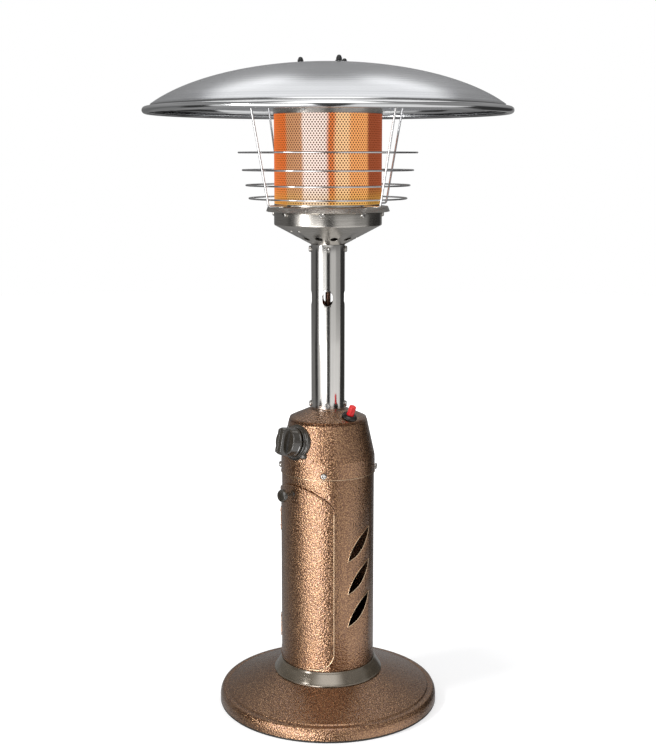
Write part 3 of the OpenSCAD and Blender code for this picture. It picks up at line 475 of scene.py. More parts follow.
def in_ring(shape, finish, cut_from=None, **ring):
    """Copies of a shape in a ring, or cut in a ring from an object. The shape is used up."""
    made = grown(ring_tree(finish, cut_from is not None), {"Shape": shape, **ring_values(**ring)}, cut_from)
    discard(shape)
    return made


print("a ring has the sizes", ", ".join(RING))

# %% [markdown]
# ## Finishes
# A finish is a Principled shader whose colour, roughness and relief come from patterns. Pictures could be
# laid on the pieces, but they need unwrapped meshes and they repeat. Patterns on Object coordinates are used
# instead, because they keep their real size on every piece.

# %% Shader helpers
def new_finish(name, **sockets):
    """Material with a Principled shader whose plain sockets are set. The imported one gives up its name."""
    packed = bpy.data.materials.get(name)
    if packed:
        packed.name = "packed_" + name
    material = bpy.data.materials.new(name)
    material.use_nodes = True
    shader = material.node_tree.nodes["Principled BSDF"]
    for label, value in sockets.items():
        shader.inputs[label.replace("_", " ")].default_value = value
    return material, material.node_tree, shader


def own_coordinates(tree):
    return tree.nodes.new("ShaderNodeTexCoord").outputs["Object"]


def stretched(tree, scale=(1, 1, 1)):
    """Object coordinates, stretched."""
    return add(tree, "ShaderNodeMapping", {"Vector": own_coordinates(tree), "Scale": scale})


def noise(tree, place, scale, detail=2.0, output=0):
    made = add(tree, "ShaderNodeTexNoise", {"Vector": place, "Scale": scale, "Detail": detail})
    return made.node.outputs[output]


def length(tree, place):
    return add(tree, "ShaderNodeVectorMath", {0: place}, operation="LENGTH").node.outputs["Value"]


def ramp(tree, value, *stops):
    """Colours between stops (position, colour)."""
    node = tree.nodes.new("ShaderNodeValToRGB")
    elements = node.color_ramp.elements
    while len(elements) < len(stops):
        elements.new(1.0)
    for element, (position, color) in zip(elements, stops):
        element.position = position
        element.color = (*color, 1.0)
    tree.links.new(value, node.inputs[0])
    return node.outputs[0]


def between(tree, value, low, high, first=0.0, last=1.0):
    """Value from first..last moved to low..high."""
    return add(tree, "ShaderNodeMapRange",
               {"Value": value, "From Min": first, "From Max": last, "To Min": low, "To Max": high})


def bands(tree, value, soft, *stripes):
    """Stripes (start, colour) that melt into each other over a soft width."""
    stops = [(0.0, stripes[0][1])]
    for (_, before), (start, color) in zip(stripes, stripes[1:]):
        stops += [(start - soft, before), (start + soft, color)]
    return ramp(tree, value, *stops)


def turn_round(tree):
    """Angle round the heater, as 0..1 from the door towards +X, with the height and the radius."""
    parts = add(tree, "ShaderNodeSeparateXYZ", {0: own_coordinates(tree)}).node.outputs
    turn = calc(tree, "ARCTAN2", parts[0], times(tree, parts[1], -1.0))
    away = length(tree, vector(tree, parts[0], parts[1], 0.0))
    return calc(tree, "FRACT", plus(tree, share(tree, turn, 2 * math.pi), 1.0)), parts[2], away


def blend(tree, factor, first, second):
    """Colour between two colours or sockets."""
    return add(tree, "ShaderNodeMix", {0: factor, 6: first, 7: second}, data_type="RGBA").node.outputs[2]


def bump(tree, shader, height, strength, depth, *labels):
    """Relief on a shader's normal and on further sockets, with its depth in millimetres."""
    made = add(tree, "ShaderNodeBump", {"Height": height, "Strength": strength, "Distance": depth * MM})
    for label in ("Normal", *labels):
        tree.links.new(made, shader.inputs[label])


def feed(tree, shader, **sources):
    for label, source in sources.items():
        tree.links.new(source, shader.inputs[label.replace("_", " ")])


print("packed materials to replace:", len(bpy.data.materials))

# %% [markdown]
# ## Hammered bronze
# Housing and base wear a hammered powder coat: small glossy hills with dark valleys between them. Plain noise
# gives soft clouds. Warped cells come closer, because the coat gathers into separate drops, and a clear coat
# over them gives each drop its own glint.

# %% Hammered bronze
GRAIN = 2.1 * MM
CRESTS = (0.65, 0.375, 0.170), (0.57, 0.290, 0.118)
VALLEYS = (0.255, 0.110, 0.041), (0.210, 0.082, 0.029)


def hammered_bronze():
    """Powder coat whose drops are about as wide as the grain, in two tones that change in clouds."""
    material, tree, shader = new_finish("hammered_bronze", Metallic=0.92, Coat_Weight=1.0,
                                        Coat_Roughness=0.16, Coat_IOR=1.7)
    place = stretched(tree)
    drift = add(tree, "ShaderNodeVectorMath", {0: noise(tree, place, 0.7 / GRAIN, output=1), "Scale": GRAIN},
                operation="SCALE")
    warped = add(tree, "ShaderNodeVectorMath", {0: place, 1: drift}, operation="ADD")
    drops = add(tree, "ShaderNodeTexVoronoi", {"Vector": warped, "Scale": 1 / GRAIN, "Smoothness": 0.5},
                feature="SMOOTH_F1")
    tones = [ramp(tree, drops, (0.1, crest), (0.6, valley)) for crest, valley in zip(CRESTS, VALLEYS)]
    feed(tree, shader, Base_Color=blend(tree, noise(tree, place, 30.0, detail=3.0), *tones),
         Roughness=between(tree, drops, 0.20, 0.32))
    bump(tree, shader, minus(tree, 1.0, drops), 1.0, 0.52, "Coat Normal")
    return material


print("the coat's drops are", round(GRAIN / MM, 2), "mm wide")

# %% [markdown]
# ## Bare metals
# The post is brushed lengthwise, the bowl is turned and the reflector is spun in circles. Scratches could be
# real grooves, but they are far too fine. A noise stretched along one axis draws them out instead. Where they
# run in circles, the noise takes the distance from the axis alone.

# %% Brushed and spun metals
# Painted shade for the dark lines along the rim's creases.
PAINTED_CREASE_SHADE = (0.03, 0.03, 0.033, 1)


def brushed(name, color, dull, scale, roughness, relief=0.25):
    """Bare metal with fine scratches, drawn out along the axis whose scale is small."""
    material, tree, shader = new_finish(name, Metallic=1.0)
    scratches = noise(tree, stretched(tree, scale), 1.0, detail=4.0)
    cloud = noise(tree, stretched(tree), 18.0, detail=3.0)
    mixed = calc(tree, "MULTIPLY_ADD", cloud, 0.35, times(tree, scratches, 0.65))
    feed(tree, shader, Base_Color=ramp(tree, mixed, (0.3, dull), (0.68, color)),
         Roughness=between(tree, mixed, roughness[1], roughness[0]))
    bump(tree, shader, scratches, relief, 0.05)
    return material


def spun(name, color, dull, roughness, pitch, relief, creases=()):
    """Bare metal spun on a lathe, with rings as far apart as the pitch and painted dark shade along creases,
    in millimetres.
    """
    material, tree, shader = new_finish(name, Metallic=1.0)
    flat = add(tree, "ShaderNodeVectorMath", {0: own_coordinates(tree), 1: (1, 1, 0)}, operation="MULTIPLY")
    away = length(tree, flat)
    rings = noise(tree, vector(tree, away, 0.0, 0.0), 1 / (pitch * MM), detail=5.0)
    cloud = noise(tree, stretched(tree), 9.0, detail=2.0)
    mixed = calc(tree, "MULTIPLY_ADD", cloud, 0.3, times(tree, rings, 0.7))
    shade = ramp(tree, mixed, (0.3, dull), (0.7, color))
    # Painted shade: the colour turns near black along each crease.
    for radius in creases:
        aside = calc(tree, "ABSOLUTE", minus(tree, away, radius * MM))
        shade = blend(tree, between(tree, aside, 1.0, 0.0, 0.3 * MM, 0.8 * MM), shade, PAINTED_CREASE_SHADE)
    feed(tree, shader, Base_Color=shade, Roughness=between(tree, mixed, roughness[0], roughness[1]))
    bump(tree, shader, rings, relief, 0.05)
    return material


print("creases are shaded with", PAINTED_CREASE_SHADE[:3])

# %% [markdown]
# ## Mouldings
# Knobs, edging and foot ring are moulded. A mould leaves a fine, even grain, so a small noise sets roughness
# and relief. A broad one lets the colour drift a little. One noise could do both, but two keep the grain
# even where the colour changes.

# %% Mouldings
MOULD_GRAIN = 0.6


def moulded(name, color, worn, roughness, relief=0.15, **sockets):
    """Moulded plastic or rubber with a fine grain."""
    material, tree, shader = new_finish(name, **sockets)
    place = stretched(tree)
    fine = noise(tree, place, 1 / (MOULD_GRAIN * MM), detail=3.0)
    broad = noise(tree, place, 60.0, detail=2.0)
    feed(tree, shader, Base_Color=ramp(tree, broad, (0.35, color), (0.7, worn)),
         Roughness=between(tree, fine, roughness[0], roughness[1]))
    bump(tree, shader, fine, relief, 0.08)
    return material


def glossy(name):
    """Dark brown plastic with a clear gloss."""
    return moulded(name, (0.034, 0.028, 0.020), (0.048, 0.040, 0.030), (0.16, 0.26), 0.04,
                   Specular_IOR_Level=0.7, Coat_Weight=1.0, Coat_Roughness=0.08)


print("a moulding's grain is", MOULD_GRAIN, "mm wide")

# %% [markdown]
# ## Heated steel
# A burning emitter glows orange in upright bands and stays dark gold at its foot. Lamps behind the holes
# could light it, but the glow would then change with the view. So the sheet's outer side gives the light, in
# bands by the angle round the drum. The pale bands are painted reflections laid into the glow, and the inner
# side stays dark as painted shade in the holes. The sleeve behind it is scaled steel with a faint red heat,
# put there as painted shade for the holes.

# %% Heated steel
# Glow bands round the drum; the pale ones are painted reflections.
GLOW_AND_REFLECTION_BANDS = ((0.0, (0.74, 0.15, 0.020)), (0.19, (0.58, 0.28, 0.13)), (0.31, (1.00, 0.84, 0.76)),
        (0.458, (0.72, 0.18, 0.040)), (0.50, (1.00, 0.62, 0.32)), (0.589, (0.90, 0.38, 0.12)),
        (0.715, (0.27, 0.045, 0.012)), (0.97, (0.78, 0.16, 0.020)))
GOLD = (0.62, 0.42, 0.06, 1.0)
GLOW_SIDE_R = 0.0779


def heated_screen():
    """Thin steel that glows outside in upright bands, twice round the drum, and is gold at its foot. The pale
    bands are painted reflections.
    """
    material, tree, shader = new_finish("emitter_steel", Metallic=0.2, Roughness=0.45, Emission_Strength=0.95)
    turn, height, away = turn_round(tree)
    twice = calc(tree, "FRACT", calc(tree, "MULTIPLY_ADD", turn, 2.0, 0.2))
    waver = noise(tree, own_coordinates(tree), 22.0, detail=2.0)
    wavy = calc(tree, "MULTIPLY_ADD", waver, 0.024, plus(tree, twice, -0.012))
    foot = between(tree, height, 0.55, 0.0, 0.764, 0.790)
    heat_and_reflections = blend(tree, foot, bands(tree, wavy, 0.010, *GLOW_AND_REFLECTION_BANDS), GOLD)
    # The inner side and the hole walls get a dark colour and little light: painted shade in the holes.
    outside = calc(tree, "GREATER_THAN", away, GLOW_SIDE_R)
    feed(tree, shader, Base_Color=blend(tree, outside, (0.035, 0.018, 0.010, 1.0), (0.14, 0.06, 0.03, 1.0)),
         Emission_Color=blend(tree, outside, (0.09, 0.025, 0.006, 1.0), heat_and_reflections))
    return material


def lining_steel():
    """Scaled dark steel with a faint red heat in clouds, for the sleeve of painted shade behind the holes."""
    material, tree, shader = new_finish("lining_steel", Metallic=0.2, Roughness=0.7, Emission_Strength=1.0)
    cloud = noise(tree, stretched(tree), 40.0, detail=3.0)
    feed(tree, shader,
         Base_Color=ramp(tree, cloud, (0.3, (0.030, 0.014, 0.008)), (0.7, (0.055, 0.028, 0.016))),
         Emission_Color=ramp(tree, cloud, (0.3, (0.045, 0.012, 0.003)), (0.7, (0.11, 0.030, 0.006))))
    return material


print("the glow has", len(GLOW_AND_REFLECTION_BANDS), "bands")

# %% [markdown]
# ## All finishes
# Each material slot of the record gets the finish of its name, and a few more serve for the painted highlight
# lines and for the sleeve. They are kept in a table by name, so that a piece only has to say a name.

# %% All finishes
FINISHES = {f.name: f for f in (
    hammered_bronze(), heated_screen(), lining_steel(), glossy("pull_plastic"), glossy("knob_plastic"),
    moulded("foot_plastic", (0.150, 0.118, 0.078), (0.190, 0.152, 0.104), (0.16, 0.24), 0.04, Metallic=0.6,
            Coat_Weight=1.0, Coat_Roughness=0.16, Coat_IOR=1.9),
    moulded("black_sheet", (0.02, 0.018, 0.017), (0.05, 0.045, 0.04), (0.35, 0.55), Metallic=0.3),
    moulded("edging_rubber", (0.02, 0.017, 0.015), (0.045, 0.038, 0.032), (0.5, 0.7)),
    moulded("switch_plastic", (0.012, 0.011, 0.010), (0.024, 0.022, 0.020), (0.14, 0.26), 0.05),
    moulded("button_red", (0.72, 0.012, 0.018), (0.85, 0.03, 0.03), (0.16, 0.3), 0.05),
    moulded("lead_jacket", (0.42, 0.04, 0.03), (0.55, 0.07, 0.05), (0.4, 0.6)),
    moulded("ceramic", (0.74, 0.72, 0.66), (0.82, 0.80, 0.76), (0.2, 0.35)),
    moulded("black_nuts", (0.012, 0.012, 0.012), (0.03, 0.03, 0.03), (0.2, 0.35)),
    brushed("ballast_iron", (0.20, 0.19, 0.18), (0.07, 0.06, 0.055), (300, 300, 300), (0.5, 0.75)),
    brushed("zinc_steel", (0.62, 0.62, 0.62), (0.34, 0.34, 0.35), (400, 400, 400), (0.25, 0.45)),
    brushed("bright_screws", (0.64, 0.62, 0.59), (0.34, 0.32, 0.30), (500, 500, 500), (0.12, 0.3)),
    brushed("brass", (0.75, 0.52, 0.20), (0.48, 0.32, 0.11), (400, 400, 400), (0.22, 0.4)),
    brushed("regulator_casting", (0.52, 0.52, 0.53), (0.30, 0.30, 0.31), (250, 250, 250), (0.4, 0.6)),
    brushed("post_steel", (0.74, 0.72, 0.69), (0.62, 0.60, 0.57), (900, 900, 7), (0.12, 0.18), 0.08),
    brushed("burner_steel", (0.66, 0.63, 0.585), (0.46, 0.435, 0.40), (25, 25, 900), (0.18, 0.30), 0.15),
    brushed("copper_pipe", (0.42, 0.25, 0.18), (0.20, 0.10, 0.07), (300, 300, 20), (0.2, 0.4)),
    # Pale bronze for the painted highlight lines on the louvres, the door's hem and the seam.
    brushed("rubbed_bronze", (0.86, 0.66, 0.46), (0.62, 0.44, 0.28), (200, 200, 200), (0.2, 0.34), 0.1),
    brushed("guard_wire", (0.78, 0.77, 0.77), (0.62, 0.61, 0.61), (300, 300, 300), (0.06, 0.12), 0.1),
    spun("spun_aluminium", (0.76, 0.77, 0.785), (0.54, 0.55, 0.575), (0.18, 0.32), 3.6, 0.5),
)}
BRONZE, STEEL, SCREWS = "hammered_bronze", "burner_steel", "bright_screws"
print("finishes:", ", ".join(sorted(FINISHES)))

# %% [markdown]
# ## Base
# The base is one pressed dish: flat under the housing, a long straight slope, a small pressed step, a rounded
# shoulder and a short upright rim. A dark rubber edging takes the rim's lower edge and meets the table.

# %% Base dish and edging
BASE_R, RIM_LOW_Z, DISH_Z = reach("base_dish")
EDGING_Z = reach("base_edging")[2]
FOOT_R, FOOT_LOW_Z, FOOT_TOP_Z = reach("foot_ring")
DISH_T = 2.0
STEP_R = BASE_R - 10.5
EDGING_IN_R = BASE_R - 6

dish = pressed([
    (0, DISH_Z), (FOOT_R + 1, DISH_Z, 8), (STEP_R - 3, 23.0, 1.5), (STEP_R - 1.2, 21.0, 0.8),
    (STEP_R + 1.5, 21.6, 1.2), (BASE_R - 3.6, 20.8, 3.0), (BASE_R - 0.8, 15, 4), (BASE_R, 10, 3),
    (BASE_R, RIM_LOW_Z)], 256, steps=6, thick=DISH_T)
edging = lathe([
    (EDGING_IN_R, 0, 0.3), (BASE_R - 0.9, 0, 0.6), (BASE_R, 0.9, 0.6), (BASE_R, EDGING_Z, 0.5),
    (EDGING_IN_R, EDGING_Z, 0.3)], 256)
finished("base_dish", dish, BRONZE)
finished("base_edging", edging, "edging_rubber")

# %% [markdown]
# ## Foot ring
# A moulded ring hides the joint of housing and dish. A bevelled cone would be close, but the real ring is a
# soft slope between two narrow lips. So its section is turned, and light runs round it in one broad band.

# %% Foot ring
SHELL_R, SHELL_LOW_Z, SHELL_TOP_Z = reach("housing_shell")
SEAT = 0.3
FOOT_IN_R = SHELL_R + SEAT

foot = lathe([
    (FOOT_IN_R, FOOT_TOP_Z, 0.3), (FOOT_IN_R + 1.7, FOOT_TOP_Z, 0.8), (FOOT_IN_R + 3.2, FOOT_TOP_Z - 3.0, 2.5),
    (FOOT_IN_R + 7.2, FOOT_LOW_Z + 10.5, 9), (FOOT_R - 1.6, FOOT_LOW_Z + 4.2, 3),
    (FOOT_R - 0.9, FOOT_LOW_Z + 2.9, 0.3), (FOOT_R, FOOT_LOW_Z + 2.2, 0.7), (FOOT_R, FOOT_LOW_Z, 0.4),
    (FOOT_IN_R, FOOT_LOW_Z, 0.3)], 224)
finished("foot_ring", foot, "foot_plastic")

# %% [markdown]
# ## Housing shell
# The shell is a plain tube with a door opening and three slanted leaf-shaped louvres on each side. One long
# cutter through both walls makes a pair of louvres at once, and the tree repeats it in three rows. A fine
# wire in a pale finish follows each louvre's edge as a painted highlight.

# %% Housing shell
LOUVRE_L, LOUVRE_W = 64.4, 17.6
LOUVRE_SLANT = math.radians(47.6)
LOUVRE_PITCH, LOUVRE_Z = 50.7, 210.2
HIGHLIGHT_WIRE_R = 0.6
DOOR_OUT_R = SHELL_R + SEAT + 1.2
DOOR_HALF = math.radians(55.5)
DOOR_HALF_W = DOOR_OUT_R * math.sin(DOOR_HALF)
DOOR_LOW_Z, DOOR_TOP_Z, DOOR_RISE = 70.0, 350.5, 38.0
DOOR_CORNER_W, DOOR_CORNER_H = 19.0, 25.0
DOOR_LAP = 6.0
ALONG_X = Matrix(((0, 0, 1, 0), (1, 0, 0, 0), (0, 1, 0, 0), (0, 0, 0, 1)))


def leaf(length, width, steps=14):
    """Leaf outline between two arcs, long side along X."""
    bend = (length ** 2 / 4 + width ** 2 / 4) / width
    half = math.degrees(math.asin(length / 2 / bend))
    upper = arc((0, width / 2 - bend), bend, 90 - half, 90 + half, steps)
    lower = arc((0, bend - width / 2), bend, 270 - half, 270 + half, steps)
    return upper[:-1] + lower[:-1]


def louvre_cutter():
    """Prism through both walls along X at the lowest louvre."""
    return loose(prism(leaf(LOUVRE_L, LOUVRE_W), -2 * SHELL_R, 2 * SHELL_R),
                 shift(0, 0, LOUVRE_Z - LOUVRE_PITCH) @ spin(LOUVRE_SLANT, "X") @ ALONG_X)


def door_low(x, inset=0.0):
    """Height of the door's lower edge at a distance from its middle."""
    corner = DOOR_CORNER_W - inset / 2
    past = min(max((abs(x) - (DOOR_HALF_W - inset - corner)) / corner, 0), 1)
    return DOOR_LOW_Z + inset + (DOOR_CORNER_H - inset / 2) * (1 - math.sqrt(1 - past ** 2))


def door_high(x, inset=0.0):
    """Height of the arch there."""
    aside = min(abs(x) / (DOOR_HALF_W - inset), 1)
    return DOOR_TOP_Z - DOOR_RISE + (DOOR_RISE - inset) * math.sqrt(1 - aside ** 2)


def spread(half, first, last, steps):
    """Places across a half width, closer together near its ends."""
    return [half * math.sin(math.radians(first + (last - first) * k / steps)) for k in range(steps + 1)]


def door_cutter():
    places = spread(DOOR_HALF_W - DOOR_LAP, -90, 90, 48)
    outline = [(x, door_low(x, DOOR_LAP)) for x in places]
    outline += [(x, door_high(x, DOOR_LAP)) for x in places[::-1]]
    return loose(prism(outline, SHELL_R * 0.5, SHELL_R * 1.5), OUTWARD)


def housing_shell():
    tube = loose(band(SHELL_R - SHEET_T, SHELL_R, SHELL_LOW_Z, SHELL_TOP_Z, 0.3, 240))
    in_ring(louvre_cutter(), BRONZE, tube, rows=3, rise=LOUVRE_PITCH)
    in_ring(door_cutter(), BRONZE, tube)
    return bevelled(tube, 0.55)


def louvre_highlight_line(side, middle):
    """Wire along one louvre's edge, a painted highlight line."""
    outline = leaf(LOUVRE_L, LOUVRE_W)
    c, s = math.cos(LOUVRE_SLANT), math.sin(LOUVRE_SLANT)
    path = []
    for u, v in outline + outline[:1]:
        y = u * c - v * s
        path.append((side * math.sqrt((SHELL_R + 0.2) ** 2 - y ** 2), y, middle + u * s + v * c))
    return swept(path, HIGHLIGHT_WIRE_R)


finished("housing_shell", housing_shell(), BRONZE)
# The louvre wires are painted highlights in a pale finish.
edges = [louvre_highlight_line(side, LOUVRE_Z + row * LOUVRE_PITCH) for row in (-1, 0, 1) for side in (-1, 1)]
piece("louvre_edges", joined(*edges), "rubbed_bronze")

# %% [markdown]
# ## Access door
# The door is a curved sheet that laps over the opening. Its edge is turned over into a thick hem along the
# arch, the free side and the bottom, and a pale line on the last two is a painted highlight on the hem. The
# hinge side stays plain, because the leaves lie there. The sheet is a grid whose columns run from the lower
# edge to the arch.

# %% Access door
HEM_R = 1.2
HEM_OUT_R = DOOR_OUT_R - 0.05
HIGHLIGHT_INSET = 0.4


def on_cylinder(x, z, radius):
    """Point at a distance x from the door's middle, seen from the front."""
    return Vector((x, -math.sqrt(max(radius ** 2 - x ** 2, 0)), z))


def door_grid(bm, radius, columns, rows):
    """Curved grid of the door's outline, and its corners in columns."""
    grid = []
    for i in range(columns + 1):
        side = DOOR_HALF_W * math.sin(math.pi * (i / columns - 0.5))
        low, high, x = door_low(side), door_high(side), side * radius / DOOR_OUT_R
        grid.append([bm.verts.new(on_cylinder(x, low + (high - low) * k / rows, radius) * MM)
                     for k in range(rows + 1)])
    for i in range(columns):
        for k in range(rows):
            bm.faces.new((grid[i][k], grid[i + 1][k], grid[i + 1][k + 1], grid[i][k + 1]))
    return grid


def door_sheet(columns=72, rows=40):
    bm = bmesh.new()
    outer, inner = [door_grid(bm, radius, columns, rows) for radius in (DOOR_OUT_R, DOOR_OUT_R - SHEET_T)]
    border = [(i, 0) for i in range(columns)] + [(columns, k) for k in range(rows)]
    border += [(i, rows) for i in range(columns, 0, -1)] + [(0, k) for k in range(rows, 0, -1)]
    for (a, b), (c, d) in zip(border, border[1:] + border[:1]):
        bm.faces.new((outer[a][b], outer[c][d], inner[c][d], inner[a][b]))
    bmesh.ops.recalc_face_normals(bm, faces=bm.faces)
    return loose(bm)


def free_side(half, low, inset, last):
    """Places up the free side, from the lower edge on."""
    return [(half, low + (door_high(half, inset) - low) * k / 12) for k in range(1, last)]


def door_hem():
    """Hem along the bottom, the free side and the arch, a little inside the sheet's edge."""
    inset = HEM_R * 0.6
    half = DOOR_HALF_W - inset
    places = spread(half, -84, 90, 60)
    path = [(x, door_low(x, inset)) for x in places] + free_side(half, door_low(half, inset), inset, 12)
    path += [(x, door_high(x, inset)) for x in places[::-1]]
    return swept([on_cylinder(x, z, HEM_OUT_R) for x, z in path], HEM_R)


def door_edge():
    """Painted highlight line on the hem, thicker along the bottom than up the free side."""
    half = DOOR_HALF_W - HIGHLIGHT_INSET
    path = [(x, door_low(x, HIGHLIGHT_INSET)) for x in spread(half, 30, 90, 30)]
    path += free_side(half, path[-1][1], HIGHLIGHT_INSET, 13)
    return joined(*(swept([on_cylinder(x, z, HEM_OUT_R + HEM_R * 0.75) for x, z in points], radius)
                    for points, radius in ((path[:29], 1.0), (path[28:], 0.65))))


finished("access_door", merged(door_sheet(), door_hem()), BRONZE, "door")
# The pale wire on the hem is a painted highlight.
piece("door_edge", door_edge(), "rubbed_bronze", "door")

# %% [markdown]
# ## Door pull
# The pull is a small moulded disc on a neck, turned a quarter to latch the door. It is a turned section whose
# axis points out of the door, with a shallow dish in its face and a moulded line across it that shows the
# tongue's way.

# %% Door pull
PULL_LOW, PULL_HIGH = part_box("latch_pull")
PULL_R = (PULL_HIGH.x - PULL_LOW.x) / 2 / MM
PULL_Z = (PULL_HIGH.z + PULL_LOW.z) / 2 / MM
PULL_OUT, PULL_IN = -PULL_LOW.y / MM, -PULL_HIGH.y / MM
SPINDLE_R = 2.5


def latch_pull():
    foot, out = DOOR_OUT_R + SEAT, PULL_OUT
    knob = lathe([
        (0, foot), (5.0, foot, 0.5), (4.2, foot + 1.8, 0.8), (3.9, out - 9.5, 1.0),
        (PULL_R - 1.4, out - 8.3, 1.5), (PULL_R, out - 6.2, 1.2), (PULL_R, out - 2.8, 1.2),
        (PULL_R - 1.5, out, 1.0), (PULL_R - 3.2, out - 0.6, 0.6), (0, out - 0.9)], 64)
    spindle = lathe([(0, PULL_IN), (SPINDLE_R, PULL_IN, 0.4), (SPINDLE_R, foot + 0.2), (0, foot + 0.2)], 32)
    line = prism(rounded([(-5.4, -0.7, 0.6), (5.4, -0.7, 0.6), (5.4, 0.7, 0.6), (-5.4, 0.7, 0.6)]),
                 out - 1.6, out - 0.3)
    whole = merged(*(loose(part) for part in (knob, spindle, line)))
    whole.data.transform(shift(0, 0, PULL_Z) @ OUTWARD)
    return whole


finished("latch_pull", latch_pull(), "pull_plastic", "latch")

# %% [markdown]
# ## Control housing and shoulder
# A short skirt laps over the shell, then the wall leans in as a cone. The shoulder cap above it is a second
# pressing: a steep edge, a sloping ring and a flat land for the post. The narrow gap between the two
# pressings reads as a dark line, and a pale ring at the skirt's lower edge is a painted highlight.

# %% Control housing and shoulder cap
SKIRT_R, SEAM_Z, CONE_TOP_Z = reach("control_housing")
CONE_LOW_Z = SEAM_Z + 24
CONE_TOP_R = 58.6
CAP_R, _, CAP_TOP_Z = reach("shoulder_cap")
CAP_LOW_Z = CONE_TOP_Z + SEAT
LAND_R = 28.5
BREAK_R, BREAK_Z = CAP_R - 2, CAP_TOP_Z - 12.3
POST_R, POST_LOW_Z, POST_TOP_Z = reach("post")


cone = pressed([
    (CONE_TOP_R - 2.6, CONE_TOP_Z), (CONE_TOP_R - 1.9, CONE_TOP_Z - 1.2, 0.3),
    (CONE_TOP_R + 0.25, CONE_TOP_Z - 1.4, 0.7), (SKIRT_R - 0.7, CONE_LOW_Z + 2, 9),
    (SKIRT_R - 0.45, CONE_LOW_Z - 6, 3), (SKIRT_R - 0.45, SEAM_Z + 2.0, 0.5),
    (SKIRT_R, SEAM_Z + 1.3, 0.4), (SKIRT_R, SEAM_Z, 0.4)], 224, steps=6)
# A pale ring at the skirt's lower edge, a painted highlight.
painted_seam_highlight = lathe([
    (SKIRT_R - 1.0, SEAM_Z + 0.3, 0.2), (SKIRT_R, SEAM_Z + 0.3, 0.4), (SKIRT_R, SEAM_Z + 1.9, 0.6),
    (SKIRT_R - 1.0, SEAM_Z + 2.2, 0.2)], 224)
cap = pressed([
    (POST_R - 1.0, CAP_TOP_Z), (LAND_R, CAP_TOP_Z, 2.5), (BREAK_R, BREAK_Z, 2.5),
    (CAP_R - 0.3, BREAK_Z - 1.6, 0.8), (CAP_R, CAP_LOW_Z + 0.9, 0.4), (CAP_R - 1.2, CAP_LOW_Z + 0.6)],
    224, steps=6)
finished("control_housing", cone, BRONZE)
piece("seam_bead", painted_seam_highlight, "rubbed_bronze")
finished("shoulder_cap", cap, BRONZE)

# %% [markdown]
# ## Screws
# All screws are pan heads with a cross recess. One head is modelled, with a rounded crown and a real recess,
# and the ring tree sets it round the seam, the post and the bowl. A head is drawn facing the door's side,
# because the tree only turns it round the heater.

# %% Screws
BIG_HEAD = 4.9, 3.1
JOINT_SCREW_Z = SEAM_Z + 8
POST_SCREW_IN = 6.6
POST_SCREW_TURN = 45


def pan_head(radius, height):
    """Pan head on z = 0 with a cross recess, facing +Z, and a short shank under it."""
    shank = radius * 0.5
    head = loose(lathe([
        (0, -1.4), (shank, -1.4), (shank, 0), (radius, 0, radius * 0.1),
        (radius * 0.92, height * 0.6, radius * 0.12), (radius * 0.72, height, radius * 0.2),
        (radius * 0.5, height, radius * 0.1), (0, height * 0.75)], 40))
    reach_x, half_y = radius * 0.58, radius * 0.3 / 2
    slot = [(-reach_x, -half_y), (reach_x, -half_y), (reach_x, half_y), (-reach_x, half_y)]
    cross = [loose(prism(slot, height * 0.35, height * 2), spin(turn)) for turn in (0, math.pi / 2)]
    return merged(head, *cross, op="DIFFERENCE")


def wall_screws(head, wall, height, finish=SCREWS, **ring):
    """Heads (radius, height) in a ring on a round wall."""
    screw = pan_head(*head)
    screw.data.transform(shift(0, -(wall + 0.1), height) @ OUTWARD)
    return in_ring(screw, finish, **ring)


finished("housing_screws", wall_screws(BIG_HEAD, SKIRT_R, JOINT_SCREW_Z, count=4, turn=42), SCREWS)
finished("post_screws", wall_screws(
    BIG_HEAD, POST_R, POST_LOW_Z + POST_SCREW_IN, count=4, turn=POST_SCREW_TURN, rows=2,
    rise=POST_TOP_Z - POST_LOW_Z - 2 * POST_SCREW_IN), SCREWS)

# %% [markdown]
# ## Gas knob
# The knob stands square to the leaning wall on a round bezel with two screw ears. All of it is made on its
# own axis first and then moved there. The bezel is a deep disc trimmed to the wall. The knob is a skirt, a
# drum and a grip bar with a hollow down its middle, so that its two ridges catch the light.

# %% Gas knob
CONE_TILT = math.atan((SKIRT_R - CONE_TOP_R) / (CONE_TOP_Z - CONE_LOW_Z))
KNOB_Z = SEAM_Z + 53
KNOB_OUT = SKIRT_R - (KNOB_Z - CONE_LOW_Z) * math.tan(CONE_TILT)
ON_KNOB = shift(0, -KNOB_OUT, KNOB_Z) @ spin(math.pi / 2 - CONE_TILT, "X")
BEZEL_R, BEZEL_FACE, BEZEL_BACK, BEZEL_HOLE_R = 26.5, 1.0, -12, 6
BOSS_R, BOSS_FACE = 23.0, 5.0
BEZEL_SCREW_OUT = BEZEL_R + 0.5
BEZEL_SCREW_TURNS = math.radians(-42), math.radians(-42) + math.pi
KNOB_R, KNOB_BACK, DRUM_FACE, KNOB_FACE = 22.5, 8.3, 22.5, 33.4
GRIP_W = 13.0


